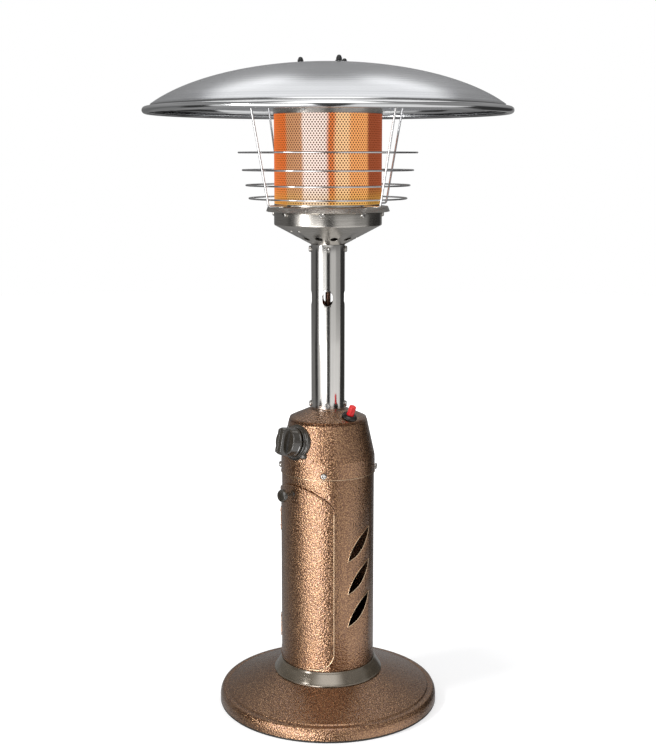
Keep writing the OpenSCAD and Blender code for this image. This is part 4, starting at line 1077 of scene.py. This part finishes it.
def knob_bezel():
    """Flange with two screw ears and a raised boss, cut off behind along the housing's wall."""
    boss = loose(lathe([
        (BEZEL_HOLE_R, BEZEL_BACK), (BEZEL_R, BEZEL_BACK), (BEZEL_R, BEZEL_FACE, 1.1),
        (BOSS_R + 0.9, BEZEL_FACE, 0.6), (BOSS_R, BEZEL_FACE + 1.0, 0.3), (BOSS_R, BOSS_FACE, 1.6),
        (BOSS_R - 2.6, BOSS_FACE, 0.4), (BOSS_R - 3.1, BOSS_FACE - 0.9, 0.3),
        (BEZEL_HOLE_R, BOSS_FACE - 0.9)], 128))
    ear_face = BEZEL_FACE - 0.15
    ears = [loose(lathe([(0, BEZEL_BACK), (4, BEZEL_BACK), (4, ear_face, 0.8), (0, ear_face)], 48),
                  spin(turn) @ shift(BEZEL_SCREW_OUT, 0, 0)) for turn in BEZEL_SCREW_TURNS]
    disc = merged(boss, *ears)
    disc.data.transform(ON_KNOB)
    wall = loose(turned([Vector(p) for p in (
        (0, CAP_TOP_Z), (CAP_R + SEAT, CAP_TOP_Z), (CAP_R + SEAT, CAP_LOW_Z),
        (CONE_TOP_R + 0.3, CONE_TOP_Z), (SKIRT_R - 0.2, CONE_LOW_Z + 2),
        (SKIRT_R + 0.3, CONE_LOW_Z - 2), (SKIRT_R + 0.3, SEAM_Z), (0, SEAM_Z))], 224))
    return merged(disc, wall, op="DIFFERENCE")


def control_knob():
    """Skirt and drum with a grip bar across it. The bar's face has a hollow between two ridges."""
    back, face, half = KNOB_BACK, KNOB_FACE, GRIP_W / 2
    drum = loose(lathe([
        (0, back), (KNOB_R, back, 0.5), (KNOB_R, back + 2.0, 0.9), (KNOB_R - 1.3, back + 2.9, 0.6),
        (KNOB_R - 2.1, DRUM_FACE, 2.2), (KNOB_R - 5.0, DRUM_FACE, 0.3), (KNOB_R - 5.5, DRUM_FACE - 0.6, 0.3),
        (0, DRUM_FACE - 0.6)], 128))
    bar = loose(prism(rounded([
        (-half - 1.2, back + 1), (half + 1.2, back + 1), (half, DRUM_FACE + 3, 3), (half, face, 2.2),
        (half - 3.0, face, 0.9), (half - 4.0, face - 1.4, 0.8), (4.0 - half, face - 1.4, 0.8),
        (3.0 - half, face, 0.9), (-half, face, 2.2), (-half, DRUM_FACE + 3, 3)]), -KNOB_R, KNOB_R), OUTWARD)
    limit = loose(lathe([(0, back), (KNOB_R - 1.2, back), (KNOB_R - 2.0, face - 6.0, 1),
                         (KNOB_R - 5.0, face + 0.2, 6.5), (0, face + 0.2)], 128, steps=8))
    knob = bevelled(merged(drum, merged(bar, limit, op="INTERSECT")), 0.5, segments=3, angle=45)
    knob.data.transform(ON_KNOB)
    return knob


def bezel_screws():
    pair = []
    for turn in BEZEL_SCREW_TURNS:
        head = pan_head(3.0, 1.8)
        head.data.transform(ON_KNOB @ shift(
            BEZEL_SCREW_OUT * math.cos(turn), BEZEL_SCREW_OUT * math.sin(turn), BEZEL_FACE))
        pair.append(head)
    return joined(*pair)


finished("knob_bezel", knob_bezel(), "knob_plastic")
finished("control_knob", control_knob(), "knob_plastic", "gas_knob")
finished("bezel_screws", bezel_screws(), SCREWS)

# %% [markdown]
# ## Igniter
# The igniter leans with the shoulder's slope. A low black nut holds its barrel, and the red button stands in
# the barrel with a rounded end. Both are turned upright and leaned afterwards with one matrix, which is
# simpler than a slanted section.

# %% Igniter
IGNITER_TURN = math.radians(90)
IGNITER_OUT = 46.0
CAP_SLOPE = math.atan((CAP_TOP_Z - BREAK_Z) / (BREAK_R - LAND_R))
IGNITER_Z = CAP_TOP_Z - (IGNITER_OUT - LAND_R) * math.tan(CAP_SLOPE)
ON_IGNITER = spin(IGNITER_TURN) @ shift(0, -IGNITER_OUT, IGNITER_Z) @ spin(CAP_SLOPE, "X")
BUTTON_R, BUTTON_UP, BUTTON_FOOT = 5.25, 19.5, -9

nut = lathe([(BUTTON_R + 3, 0.3), (11.5, 0.3, 0.4), (11.5, 1.7, 0.8), (10.6, 3.3, 1.6), (8.8, 5.1, 1.6),
             (7.4, 5.5, 0.6), (BUTTON_R + 0.5, 5.5, 0.5), (BUTTON_R + 0.5, 3.3), (BUTTON_R + 3, 3.3)], 96)
button = lathe([(0, BUTTON_FOOT), (BUTTON_R, BUTTON_FOOT, 0.4), (BUTTON_R, BUTTON_UP, 2.2),
                (BUTTON_R * 0.4, BUTTON_UP, 2.0), (0, BUTTON_UP - 0.25)], 64, steps=6)
finished("igniter_nut", loose(nut, ON_IGNITER), "switch_plastic")
finished("igniter_button", loose(button, ON_IGNITER), "button_red", "igniter_button")

# %% [markdown]
# ## Post
# The post is a brushed tube with an oval hole on each quarter near its top. The hole's edge is deburred, and
# the gas tube shows inside. The ring tree cuts the holes, because a hole built into the grid would bend the
# faces round it. Extra rings of points at the holes' height keep those faces small.

# %% Post
OVAL_W, OVAL_H = 15.0, 21.4
OVAL_Z = POST_TOP_Z - 78.3
HALF_STEPS = (4, 8, 12.5, 15, 30, 60)


def oval_cutter():
    flat = (OVAL_H - OVAL_W) / 2
    outline = arc((0, flat), OVAL_W / 2, 0, 180, 16) + arc((0, -flat), OVAL_W / 2, 180, 360, 16)
    return loose(prism(outline, 10, 40), shift(0, 0, OVAL_Z) @ OUTWARD)


def post():
    inner = POST_R - SHEET_T
    levels = [OVAL_Z + step for step in (*(-s for s in HALF_STEPS[::-1]), 0, *HALF_STEPS)]
    section = rounded([(inner, POST_LOW_Z, 0.3), (POST_R, POST_LOW_Z, 0.4)], closed=False, steps=3)
    section += [Vector((POST_R, z)) for z in levels]
    section += rounded([(POST_R, POST_TOP_Z, 0.4), (inner, POST_TOP_Z, 0.3)], closed=False, steps=3)
    section += [Vector((inner, z)) for z in levels[::-1]]
    tube = loose(turned(section, 160))
    in_ring(oval_cutter(), "post_steel", tube, count=4, turn=POST_SCREW_TURN)
    return bevelled(tube, 0.3)


finished("post", post(), "post_steel")

# %% [markdown]
# ## Burner bowl and guard plate
# The bowl is turned sheet: a cone with round air vents, then an upright wall with eight screws. Two
# small rivets sit on the cone. One vent is cut twelve times by the ring tree, as a real bowl is punched step
# by step. The guard plate on top is a ring with a short skirt that leans out.

# %% Burner bowl
BOWL_R, _, BOWL_TOP_Z = reach("burner_bowl")
BOWL_LOW_Z = POST_TOP_Z + SEAT
BOWL_CORNER_Z = BOWL_LOW_Z + 28.5
BOWL_LEAN = math.atan((BOWL_CORNER_Z - BOWL_LOW_Z) / (BOWL_R - POST_R - 0.3))
BOWL_SCREW_Z = BOWL_TOP_Z - 8.5
PLATE_R, PLATE_LOW_Z, PLATE_TOP_Z = reach("guard_plate")
PLATE_HOLE_R = 66
VENT_R, VENT_OUT, VENT_TURN = 5.5, 42.5, 29
RIVET_OUT, RIVET_TURN = 64.5, 7.5


def on_cone(out, turn=0.0):
    """Place on the cone at a distance from the axis and an angle. Its +Z points out of the bowl."""
    height = BOWL_LOW_Z + (out - POST_R - 0.3) * math.tan(BOWL_LEAN)
    return spin(math.radians(turn)) @ shift(0, -out, height) @ spin(math.pi - BOWL_LEAN, "X")


def burner_bowl():
    tail = POST_R - 1.5
    bowl = loose(pressed([
        (BOWL_R, BOWL_TOP_Z, 0.3), (BOWL_R, BOWL_CORNER_Z, 2.2), (POST_R + 0.6, BOWL_LOW_Z + 0.2, 1.5),
        (tail, BOWL_LOW_Z, 0.8), (tail, BOWL_LOW_Z - 24)], 192))
    vent = turned([Vector(corner) for corner in ((0, -5), (VENT_R, -5), (VENT_R, 5), (0, 5))], 40)
    in_ring(loose(vent, on_cone(VENT_OUT)), STEEL, bowl, count=12, turn=VENT_TURN)
    return bevelled(bowl, 0.45)


def cone_rivets():
    """Two small domed rivets on the cone."""
    return joined(*(loose(lathe([(0, -0.3), (2.3, -0.3), (2.3, 0.4, 0.4), (1.5, 1.5, 0.9), (0, 1.7)], 32),
                          on_cone(RIVET_OUT, turn)) for turn in (-RIVET_TURN, RIVET_TURN)))


finished("burner_bowl", burner_bowl(), STEEL)
piece("cone_rivets", cone_rivets(), SCREWS)
finished("bowl_screws", wall_screws((4.9, 2.9), BOWL_R, BOWL_SCREW_Z, count=8, turn=41), SCREWS)
finished("guard_plate", pressed([
    (PLATE_HOLE_R, PLATE_TOP_Z), (PLATE_R - 2.6, PLATE_TOP_Z, 1.0), (PLATE_R, PLATE_LOW_Z + 0.2)], 192), STEEL)

# %% [markdown]
# ## Emitter screen
# The emitter is perforated sheet, rolled into a drum. Cutting thousands of holes would be slow, so one
# hexagonal cell with a round hole is drawn flat and a tree sets it in staggered rows, welds the cells and
# rolls the sheet up. The sheet is made in two halves, as it would be with a lapped seam, which also keeps
# each mesh light. Plain bands end the sheet below and above. A dark sleeve stands behind the holes as painted
# shade, so that they read dark and never show the light behind.

# %% Perforated screen
SCREEN_R, SCREEN_LOW_Z, SCREEN_TOP_Z = reach("emitter_screen")
HOLES_ROUND = 112
HOLE_PITCH = 2 * math.pi * SCREEN_R / HOLES_ROUND
HOLE_R = 1.22
ROW_PITCH = 3.13
HOLE_ROWS = 42
SCREEN_T = 0.8
SHADE_SLEEVE_R, SHADE_SLEEVE_T = SCREEN_R - 5.2, 0.6


def screen_cell():
    """Flat six-sided cell with a round hole. Its six corners let staggered rows meet."""
    bm = bmesh.new()
    half, third = HOLE_PITCH / 2, ROW_PITCH / 3
    corners = [(0, ROW_PITCH * 2 / 3), (-half, third), (-half, -third), (0, -ROW_PITCH * 2 / 3),
               (half, -third), (half, third)]
    edge = []
    for (x, y), (next_x, next_y) in zip(corners, corners[1:] + corners[:1]):
        edge += [(x, y), ((x + next_x) / 2, (y + next_y) / 2)]
    hole = [(x * HOLE_R / math.hypot(x, y), y * HOLE_R / math.hypot(x, y)) for x, y in edge]
    outer, inner = [[bm.verts.new(Vector((x, y, 0)) * MM) for x, y in ring] for ring in (edge, hole)]
    for k in range(len(edge)):
        j = (k + 1) % len(edge)
        bm.faces.new((outer[k], outer[j], inner[j], inner[k]))
    return loose(bm)


def screen_tree():
    tree, sizes = new_tree("perforated drum", Cell="Object", Columns="Int", Rows="Int", First="Float",
                           Pitch="Float", RowPitch="Float", Radius="Float", Low="Float")
    row, column = row_and_column(tree, sizes["Columns"])
    stagger = times(tree, calc(tree, "MODULO", row, 2.0), 0.5)
    x = times(tree, plus(tree, plus(tree, column, stagger), sizes["First"]), sizes["Pitch"])
    place = vector(tree, x, times(tree, row, sizes["RowPitch"]), 0.0)
    points = add(tree, "GeometryNodePoints",
                 {"Count": times(tree, sizes["Columns"], sizes["Rows"]), "Position": place})
    cells = add(tree, "GeometryNodeInstanceOnPoints",
                {"Points": points, "Instance": object_shape(tree, sizes["Cell"])})
    flat = welded(tree, add(tree, "GeometryNodeRealizeInstances", {0: cells}), 0.05)
    along, up, _ = own_place(tree)
    angle = share(tree, along, sizes["Radius"])
    out = times(tree, calc(tree, "SINE", angle), sizes["Radius"])
    back = times(tree, times(tree, calc(tree, "COSINE", angle), sizes["Radius"]), -1.0)
    return end_tree(tree, moved_to(tree, flat, out, back, plus(tree, up, sizes["Low"])), "emitter_steel")


def half_screen(first):
    cell = screen_cell()
    half = grown(screen_tree(), {
        "Cell": cell, "Columns": HOLES_ROUND // 2, "Rows": HOLE_ROWS, "First": float(first),
        "Pitch": HOLE_PITCH * MM, "RowPitch": ROW_PITCH * MM, "Radius": SCREEN_R * MM,
        "Low": (SCREEN_LOW_Z + 2.6) * MM})
    discard(cell)
    return thickened(half, SCREEN_T)


for side, first_column in (("front", 0), ("back", HOLES_ROUND // 2)):
    piece("emitter_screen_" + side, half_screen(first_column), "emitter_steel", node="emitter_screen")
hems = [loose(band(SCREEN_R - SCREEN_T - 0.15, SCREEN_R + 0.15, low, high, 0.2, 192)) for low, high in (
    (SCREEN_LOW_Z, SCREEN_LOW_Z + 3.4), (SCREEN_TOP_Z - 7.5, SCREEN_TOP_Z))]
# The sleeve is a dark sheet of painted shade behind the holes, with a faint red glow.
sleeve = band(SHADE_SLEEVE_R, SHADE_SLEEVE_R + SHADE_SLEEVE_T, SCREEN_LOW_Z + 1, SCREEN_TOP_Z - 2, 0.2, 96)
piece("screen_hems", joined(*hems), STEEL)
piece("screen_lining", sleeve, "lining_steel")

# %% [markdown]
# ## Screen cap
# A shallow pressed cap closes the screen. Three pairs of very small screws hold its rim. The pairs are made
# as two rings of three screws, because each ring then has even steps.

# %% Screen cap
PLUG_R, PLUG_LOW_Z, PLUG_Z = reach("screen_cap")
PAIR_TURN, PAIR_HALF = 40.5, 18.5

finished("screen_cap", pressed([
    (0, PLUG_Z - 0.4), (PLUG_R - 14, PLUG_Z - 0.4, 2), (PLUG_R - 11, PLUG_Z, 2), (PLUG_R, PLUG_Z, 1.0),
    (PLUG_R, PLUG_LOW_Z)], 192, thick=1.0), STEEL)
pairs = [wall_screws((1.7, 1.1), PLUG_R, (PLUG_LOW_Z + PLUG_Z) / 2, "zinc_steel", count=3,
                     turn=PAIR_TURN + side * PAIR_HALF) for side in (-1, 1)]
finished("screen_screws", joined(*pairs), "zinc_steel")

# %% [markdown]
# ## Wire guard
# Four plain rings surround the emitter, on the inside of four bent stays. A ring is a circle swept with a
# small round section. A stay is a path of three points whose corner a tree rounds before it sweeps it. Curves
# with a bevel could do the same, but a tree keeps wire, height and bend as named sizes.

# %% Guard rings and stays
STAY_WIRE_R = 1.5
HEEL_ROUND = 5.0
FOOT_GAP, HEEL_OUT = 3.3, 115.4
STAY_TURNS = (1, 86, 177, 265)
WIRE = "guard_wire"


def circle(tree, points, radius):
    sizes = {"Resolution": points, "Radius": radius}
    return add(tree, "GeometryNodeCurvePrimitiveCircle", sizes, mode="RADIUS")


def along(tree, path, radius):
    """Wire of a radius along a path."""
    return add(tree, "GeometryNodeCurveToMesh",
               {"Curve": path, "Profile Curve": circle(tree, 14, radius), "Fill Caps": True})


def wire_ring_tree():
    tree, sizes = new_tree("wire ring", Radius="Float", Height="Float", Wire="Float")
    wire = along(tree, circle(tree, 160, sizes["Radius"]), sizes["Wire"])
    up = vector(tree, 0.0, 0.0, sizes["Height"])
    return end_tree(tree, add(tree, "GeometryNodeTransform", {"Geometry": wire, "Translation": up}), WIRE)


def stay_tree():
    tree, sizes = new_tree("stays", Wire="Float", Bend="Float", **RING)
    path = add(tree, "GeometryNodeMeshToCurve", {0: sizes["Mesh"]})
    corner = {"Curve": path, "Radius": sizes["Bend"], "Count": 8}
    bent = add(tree, "GeometryNodeFilletCurve", corner, mode="POLY")
    return end_tree(tree, set_round(tree, along(tree, bent, sizes["Wire"]), sizes), WIRE)


def stay_path():
    """Foot, heel and top of the stay at the door's side, from the CAD node's box."""
    low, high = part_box("guard_stays")
    foot = low.z + STAY_WIRE_R * MM
    top = max(-low.x, -low.y, high.x, high.y) - STAY_WIRE_R * MM
    bm = bmesh.new()
    points = [(0, -SCREEN_R * MM - FOOT_GAP * MM, foot), (0, -HEEL_OUT * MM, foot), (0, -top, high.z)]
    verts = [bm.verts.new(p) for p in points]
    for a, b in zip(verts, verts[1:]):
        bm.edges.new((a, b))
    return loose(bm)


for k in range(1, 5):
    outer, low, high = reach(f"guard_ring_{k}")
    thick = (high - low) / 2
    ring = {"Radius": (outer - thick) * MM, "Height": (low + high) / 2 * MM, "Wire": thick * MM}
    finished(f"guard_ring_{k}", grown(wire_ring_tree(), ring), WIRE)
stays = [grown(stay_tree(), {"Wire": STAY_WIRE_R * MM, "Bend": HEEL_ROUND * MM, **ring_values(turn=turn)},
               stay_path()) for turn in STAY_TURNS]
finished("guard_stays", joined(*stays), WIRE)

# %% [markdown]
# ## Reflector
# The reflector is spun from one sheet. Its dome follows a rule, the crown of a wide ellipse, so a tree bends
# a flat grid into it: one direction of the grid runs round, the other from the top to the edge. The rim is
# turned separately: a groove, a thin bead and an edge rolled under, which stiffens the sheet.

# %% Reflector
REFLECTOR_R, _, DOME_TOP_Z = reach("reflector")
DOME_R = REFLECTOR_R - 12
DOME_H = 60.0
DOME_FULLNESS = 1.147
CROWN_A = DOME_R * DOME_FULLNESS
CROWN_B = DOME_H / (1 - math.sqrt(1 - 1 / DOME_FULLNESS ** 2))
ROLL_R = 5.0
DOME_COLUMNS, DOME_ROWS = 257, 49


def dome_height(r):
    return DOME_TOP_Z - CROWN_B * (1 - math.sqrt(1 - (r / CROWN_A) ** 2))


def dome_tree():
    tree, sizes = new_tree("spun dome", Radius="Float", Top="Float", HalfWidth="Float", Depth="Float")
    grid = add(tree, "GeometryNodeMeshGrid",
               {"Size X": 1.0, "Size Y": 1.0, "Vertices X": DOME_COLUMNS, "Vertices Y": DOME_ROWS})
    run, climb, _ = own_place(tree)
    angle = times(tree, run, 2 * math.pi)
    out = times(tree, calc(tree, "SINE", times(tree, plus(tree, climb, 0.5), math.pi / 2)), sizes["Radius"])
    part = share(tree, out, sizes["HalfWidth"])
    crown = calc(tree, "SQRT", minus(tree, 1.0, times(tree, part, part)))
    drop = times(tree, minus(tree, 1.0, crown), sizes["Depth"])
    bent = moved_to(tree, grid, times(tree, out, calc(tree, "SINE", angle)),
                    times(tree, out, times(tree, calc(tree, "COSINE", angle), -1.0)),
                    minus(tree, sizes["Top"], drop))
    return end_tree(tree, welded(tree, bent, 0.01), "spun_aluminium")


def dome():
    made = grown(dome_tree(), {
        "Radius": DOME_R * MM, "Top": DOME_TOP_Z * MM, "HalfWidth": CROWN_A * MM, "Depth": CROWN_B * MM})
    bm = bmesh.new()
    bm.from_mesh(made.data)
    bmesh.ops.recalc_face_normals(bm, faces=bm.faces)
    top = max(bm.faces, key=lambda face: face.calc_center_median().z)
    if top.normal.z < 0:
        bmesh.ops.reverse_faces(bm, faces=bm.faces)
    bm.to_mesh(made.data)
    bm.free()
    return thickened(made, SHEET_T)


def rim():
    edge_z = dome_height(DOME_R)
    skin = rounded([(DOME_R - 0.2, edge_z + 0.05), (DOME_R + 0.9, edge_z - 4.0, 0.4),
                    (DOME_R + 2.6, edge_z - 2.0, 0.9), (DOME_R + 3.8, edge_z - 4.3, 0.3)], closed=False)
    skin += arc((REFLECTOR_R - ROLL_R, edge_z - 8.5), ROLL_R, 118, -150, 22)
    return turned(sheet(skin), 256)


ROLLED = "rolled_aluminium"
# The rim's finish paints dark shade along its two creases.
FINISHES[ROLLED] = spun(ROLLED, (0.78, 0.785, 0.79), (0.66, 0.665, 0.675), (0.08, 0.15), 1.6, 0.15,
                        creases=(DOME_R + 0.8, DOME_R + 3.8))
piece("reflector_dome", dome(), "spun_aluminium", node="reflector")
piece("reflector_rim", rim(), ROLLED)

# %% [markdown]
# ## Dome nuts
# Three black domed nuts on washers hold the reflector on its studs. A nut is a bevelled hexagon with a turned
# crown, because that is how its two parts are pressed together. It is modelled once, facing up, and the ring
# tree sets it on the stud circle.

# %% Dome nuts and washers
STUD_OUT, STUD_TURN = 39.8, 70
HEX_ACROSS, HEX_H = 8.0, 3.4
NUT_LOW_Z, NUT_TOP_Z = (corner.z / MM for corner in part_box("dome_nuts"))
NUT_H = NUT_TOP_Z - NUT_LOW_Z
WASHER_LOW_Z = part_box("dome_washers")[0].z / MM


def domed_nut():
    hexagon = arc((0, 0), HEX_ACROSS / math.sqrt(3), 0, 300, 5)
    body = bevelled(loose(prism(hexagon, 0, HEX_H)), 0.35, angle=30)
    crown = lathe([(0, 3.0), (3.6, 3.0, 0.2), (3.6, 4.2, 0.8), (2.6, 6.6, 2.2), (0.8, NUT_H, 1.0),
                   (0, NUT_H)], 48)
    return merged(body, loose(crown))


washer = loose(lathe([(2.7, 0, 0.1), (5.5, 0, 0.3), (5.5, 1.0, 0.3), (2.7, 1.0, 0.1)], 48))
for node, shape, low in (("dome_nuts", domed_nut(), NUT_LOW_Z), ("dome_washers", washer, WASHER_LOW_Z)):
    shape.data.transform(shift(0, -STUD_OUT, low))
    finished(node, in_ring(shape, "black_nuts", count=3, turn=STUD_TURN), "black_nuts")

# %% [markdown]
# ## Carried-over parts
# The parts inside are right as the CAD makes them. Each takes the finish of its slot in the record.

# %% Finishes for the CAD parts
carried = 0
for entry in frame["record"]["subparts"]:
    obj = frame["nodes"][entry["node"]]
    if obj.hide_render:
        continue
    obj.data.materials.clear()
    obj.data.materials.append(FINISHES[entry["material_slot"]])
    carried += 1
print("CAD parts kept:", carried)

# %% [markdown]
# ## Floor, world and lamps
# The ground is white with a soft shadow. More light would bleach the heater as well, so floor and world are
# white to camera, glossy and transmission rays only, and the floor keeps its shadow. Soft lamps light the
# heater.

# %% Studio helpers
WHITE = (1, 1, 1, 1)


def bare_tree(owner):
    """Empty shader tree of a material or world."""
    owner.use_nodes = True
    owner.node_tree.nodes.clear()
    return owner.node_tree


def end_shader(tree, shader, kind="Material"):
    tree.links.new(shader, tree.nodes.new("ShaderNodeOutput" + kind).inputs["Surface"])


def by_ray(tree, other, direct):
    """One shader for camera, glossy and transmission rays, another for all the rest."""
    rays = tree.nodes.new("ShaderNodeLightPath").outputs
    either = calc(tree, "MAXIMUM", rays["Is Camera Ray"], rays["Is Glossy Ray"])
    seen = calc(tree, "MAXIMUM", either, rays["Is Transmission Ray"])
    return add(tree, "ShaderNodeMixShader", {0: seen, 1: other, 2: direct})


def studio_world(fill):
    world = bpy.data.worlds.new("studio")
    tree = bare_tree(world)
    light = add(tree, "ShaderNodeBackground", {"Color": (0.97, 0.98, 1.0, 1), "Strength": fill})
    backdrop = add(tree, "ShaderNodeBackground", {"Color": WHITE, "Strength": 1.0})
    end_shader(tree, by_ray(tree, light, backdrop), "World")
    bpy.context.scene.world = world


def floor(own_light, near=0.3, far=0.8):
    """White floor that keeps the shadow: part of what is seen is its own light, more of it far out."""
    bm = bmesh.new()
    bmesh.ops.create_circle(bm, cap_ends=True, segments=96, radius=6.0)
    obj = loose(bm)
    obj.name = "floor"
    material = bpy.data.materials.new("floor_white")
    tree = bare_tree(material)
    matt = add(tree, "ShaderNodeBsdfDiffuse", {"Color": (0.62, 0.62, 0.62, 1)})
    strength = between(tree, length(tree, own_coordinates(tree)), own_light, 1.0, near, far)
    glow = add(tree, "ShaderNodeEmission", {"Color": WHITE, "Strength": strength})
    end_shader(tree, by_ray(tree, matt, add(tree, "ShaderNodeAddShader", {0: matt, 1: glow})))
    obj.data.materials.append(material)
    obj.visible_glossy = False


def lamp(name, turn, away, height, size, power, aim=0.5):
    """Soft square lamp at an angle from the camera's own, aimed at a height on the axis."""
    data = bpy.data.lights.new(name, "AREA")
    data.shape = "SQUARE"
    data.size = size
    data.energy = power
    obj = bpy.data.objects.new(name, data)
    obj.location = toward(CAMERA_TURN + math.radians(turn), away, height)
    way = Vector((0, 0, aim)) - obj.location
    obj.rotation_euler = way.to_track_quat("-Z", "Y").to_euler()
    obj.visible_glossy = False
    bpy.context.scene.collection.objects.link(obj)


def seen_in_reflections(name, bm):
    """Stages a shape so that only glossy rays meet it, and returns its tree and its emission shader."""
    obj = loose(bm)
    obj.name = name
    material = bpy.data.materials.new(name)
    tree = bare_tree(material)
    light = add(tree, "ShaderNodeEmission", {"Color": WHITE})
    end_shader(tree, light)
    obj.data.materials.append(material)
    for ray in ("camera", "diffuse", "transmission", "shadow"):
        setattr(obj, "visible_" + ray, False)
    return tree, light.node.inputs


print("the camera's own angle is", round(math.degrees(CAMERA_TURN)), "degrees from the door")

# %% [markdown]
# ## Reflections
# Bare metal shows what stands round it. A picture of a real room could be wrapped round the world, but its
# parts couldn't be moved. So a large ball stands round the studio, seen by reflections only. It has upright
# stripes from dark to bright, because a round post shows each of them as one stripe. The stripes differ in
# three bands: level with the heater, below it and towards the floor. Above them the ball is grey, with three
# soft bright fields, two behind the heater and one in front. A bright card hangs over the reflector, and two
# narrow ones stand beside the camera's way for the light on the bowl and the housing.

# %% Studio
SHELL_AWAY, SHELL_Z = 2.4, 0.75
STEPS_HIGH = ((-180, 0.05), (-92, 0.012), (-70, 0.26), (-60, 0.50), (-36, 0.30), (-10, 0.010), (14, 0.20),
              (55, 0.11), (92, 0.012), (150, 0.08))
STEPS_LOW = ((-180, 0.07), (-100, 0.012), (-75, 0.16), (-58, 0.45), (-44, 0.9), (-9, 0.02), (14, 0.27),
             (92, 0.012), (150, 0.08))
STEPS_FLOOR = ((-180, 0.10), (-92, 0.10), (-60, 0.30), (-9, 0.01), (14, 0.30), (92, 0.10))
FIELD = 0.62
BRIGHTEST = 3.2


def greys(tree, value, *stops):
    """Greys between stops (position, shade)."""
    return ramp(tree, value, *((position, (shade, shade, shade)) for position, shade in stops))


def below(tree, rise, first, last):
    """1 below an angle of rise and 0 above another, in degrees."""
    return between(tree, rise, 1.0, 0.0, math.radians(first), math.radians(last))


def reflection_shell():
    """Ball with upright stripes, grey above them, and three bright fields high up."""
    bm = bmesh.new()
    bmesh.ops.create_uvsphere(bm, u_segments=64, v_segments=32, radius=SHELL_AWAY)
    bm.transform(Matrix.Translation((0, 0, SHELL_Z)))
    tree, light = seen_in_reflections("reflection_shell", bm)
    turn, height, away = turn_round(tree)
    seen = calc(tree, "FRACT", plus(tree, turn, 0.5 - CAMERA_TURN / (2 * math.pi)))
    high, low, level = [bands(tree, seen, 0.006, *((0.5 + angle / 360, (shade, shade, shade))
                                                  for angle, shade in steps))
                        for steps in (STEPS_HIGH, STEPS_LOW, STEPS_FLOOR)]
    rise = calc(tree, "ARCTAN2", minus(tree, height, SHELL_Z), away)
    up = between(tree, rise, 0.0, 1.0, 0.0, math.pi / 2)
    sky = greys(tree, up, (0.05, 0.065), (0.35, 0.105), (0.5, 0.075), (0.8, 0.05))
    aside = calc(tree, "ABSOLUTE", minus(tree, seen, 0.5))
    across = greys(tree, aside, (0.405, 0), (0.425, 1), (0.470, 1), (0.485, 0))
    behind_up = greys(tree, up, (0.42, 0), (0.52, 1), (0.70, 1), (0.78, 0))
    front = greys(tree, aside, (0.05, 1), (0.11, 0))
    front_up = greys(tree, up, (0.15, 0), (0.25, 1), (0.90, 1), (0.97, 0))
    field = calc(tree, "MAXIMUM", times(tree, across, behind_up), times(tree, front, front_up))
    color = blend(tree, field, sky, (FIELD, FIELD, FIELD, 1))
    color = blend(tree, between(tree, rise, 0.0, 1.0, math.radians(3), math.radians(12)), high, color)
    color = blend(tree, below(tree, rise, -14, -10), color, low)
    color = blend(tree, below(tree, rise, -38, -30), color, level)
    tree.links.new(color, light["Color"])
    light["Strength"].default_value = BRIGHTEST


def card(name, corners, strength):
    """Bright card for reflections. Corners count from the axis: right of the camera's way, along it, up."""
    bm = bmesh.new()
    bm.faces.new([bm.verts.new(Matrix.Rotation(CAMERA_TURN, 3, "Z") @ Vector(corner)) for corner in corners])
    seen_in_reflections(name, bm)[1]["Strength"].default_value = strength


def upright_card(name, turn, half_width, low, high, strength, away=2.0):
    """Narrow upright card at an angle from the camera's own, square to the axis."""
    left, right = [toward(math.radians(turn + step), away, 0) for step in (-half_width, half_width)]
    card(name, [(*left.xy, low), (*right.xy, low), (*right.xy, high), (*left.xy, high)], strength)


studio_world(fill=0.55)
floor(own_light=0.5)
lamp("key", -62, 1.7, 1.55, 0.45, 26, aim=0.35)
lamp("side", 52, 1.8, 1.0, 0.9, 9)
lamp("over", 170, 1.2, 1.9, 1.0, 8)
reflection_shell()
card("overhead_card", [(-0.55, -0.35, 1.6), (0.55, -0.35, 1.6), (0.55, 0.5, 1.6), (-0.55, 0.5, 1.6)], 1.1)
upright_card("high_strip", -50, 5, 0.2, 1.3, 9)
upright_card("low_strip", -25, 8, -1.1, 0.25, 8)
scene = bpy.context.scene
scene.view_settings.view_transform = "Standard"
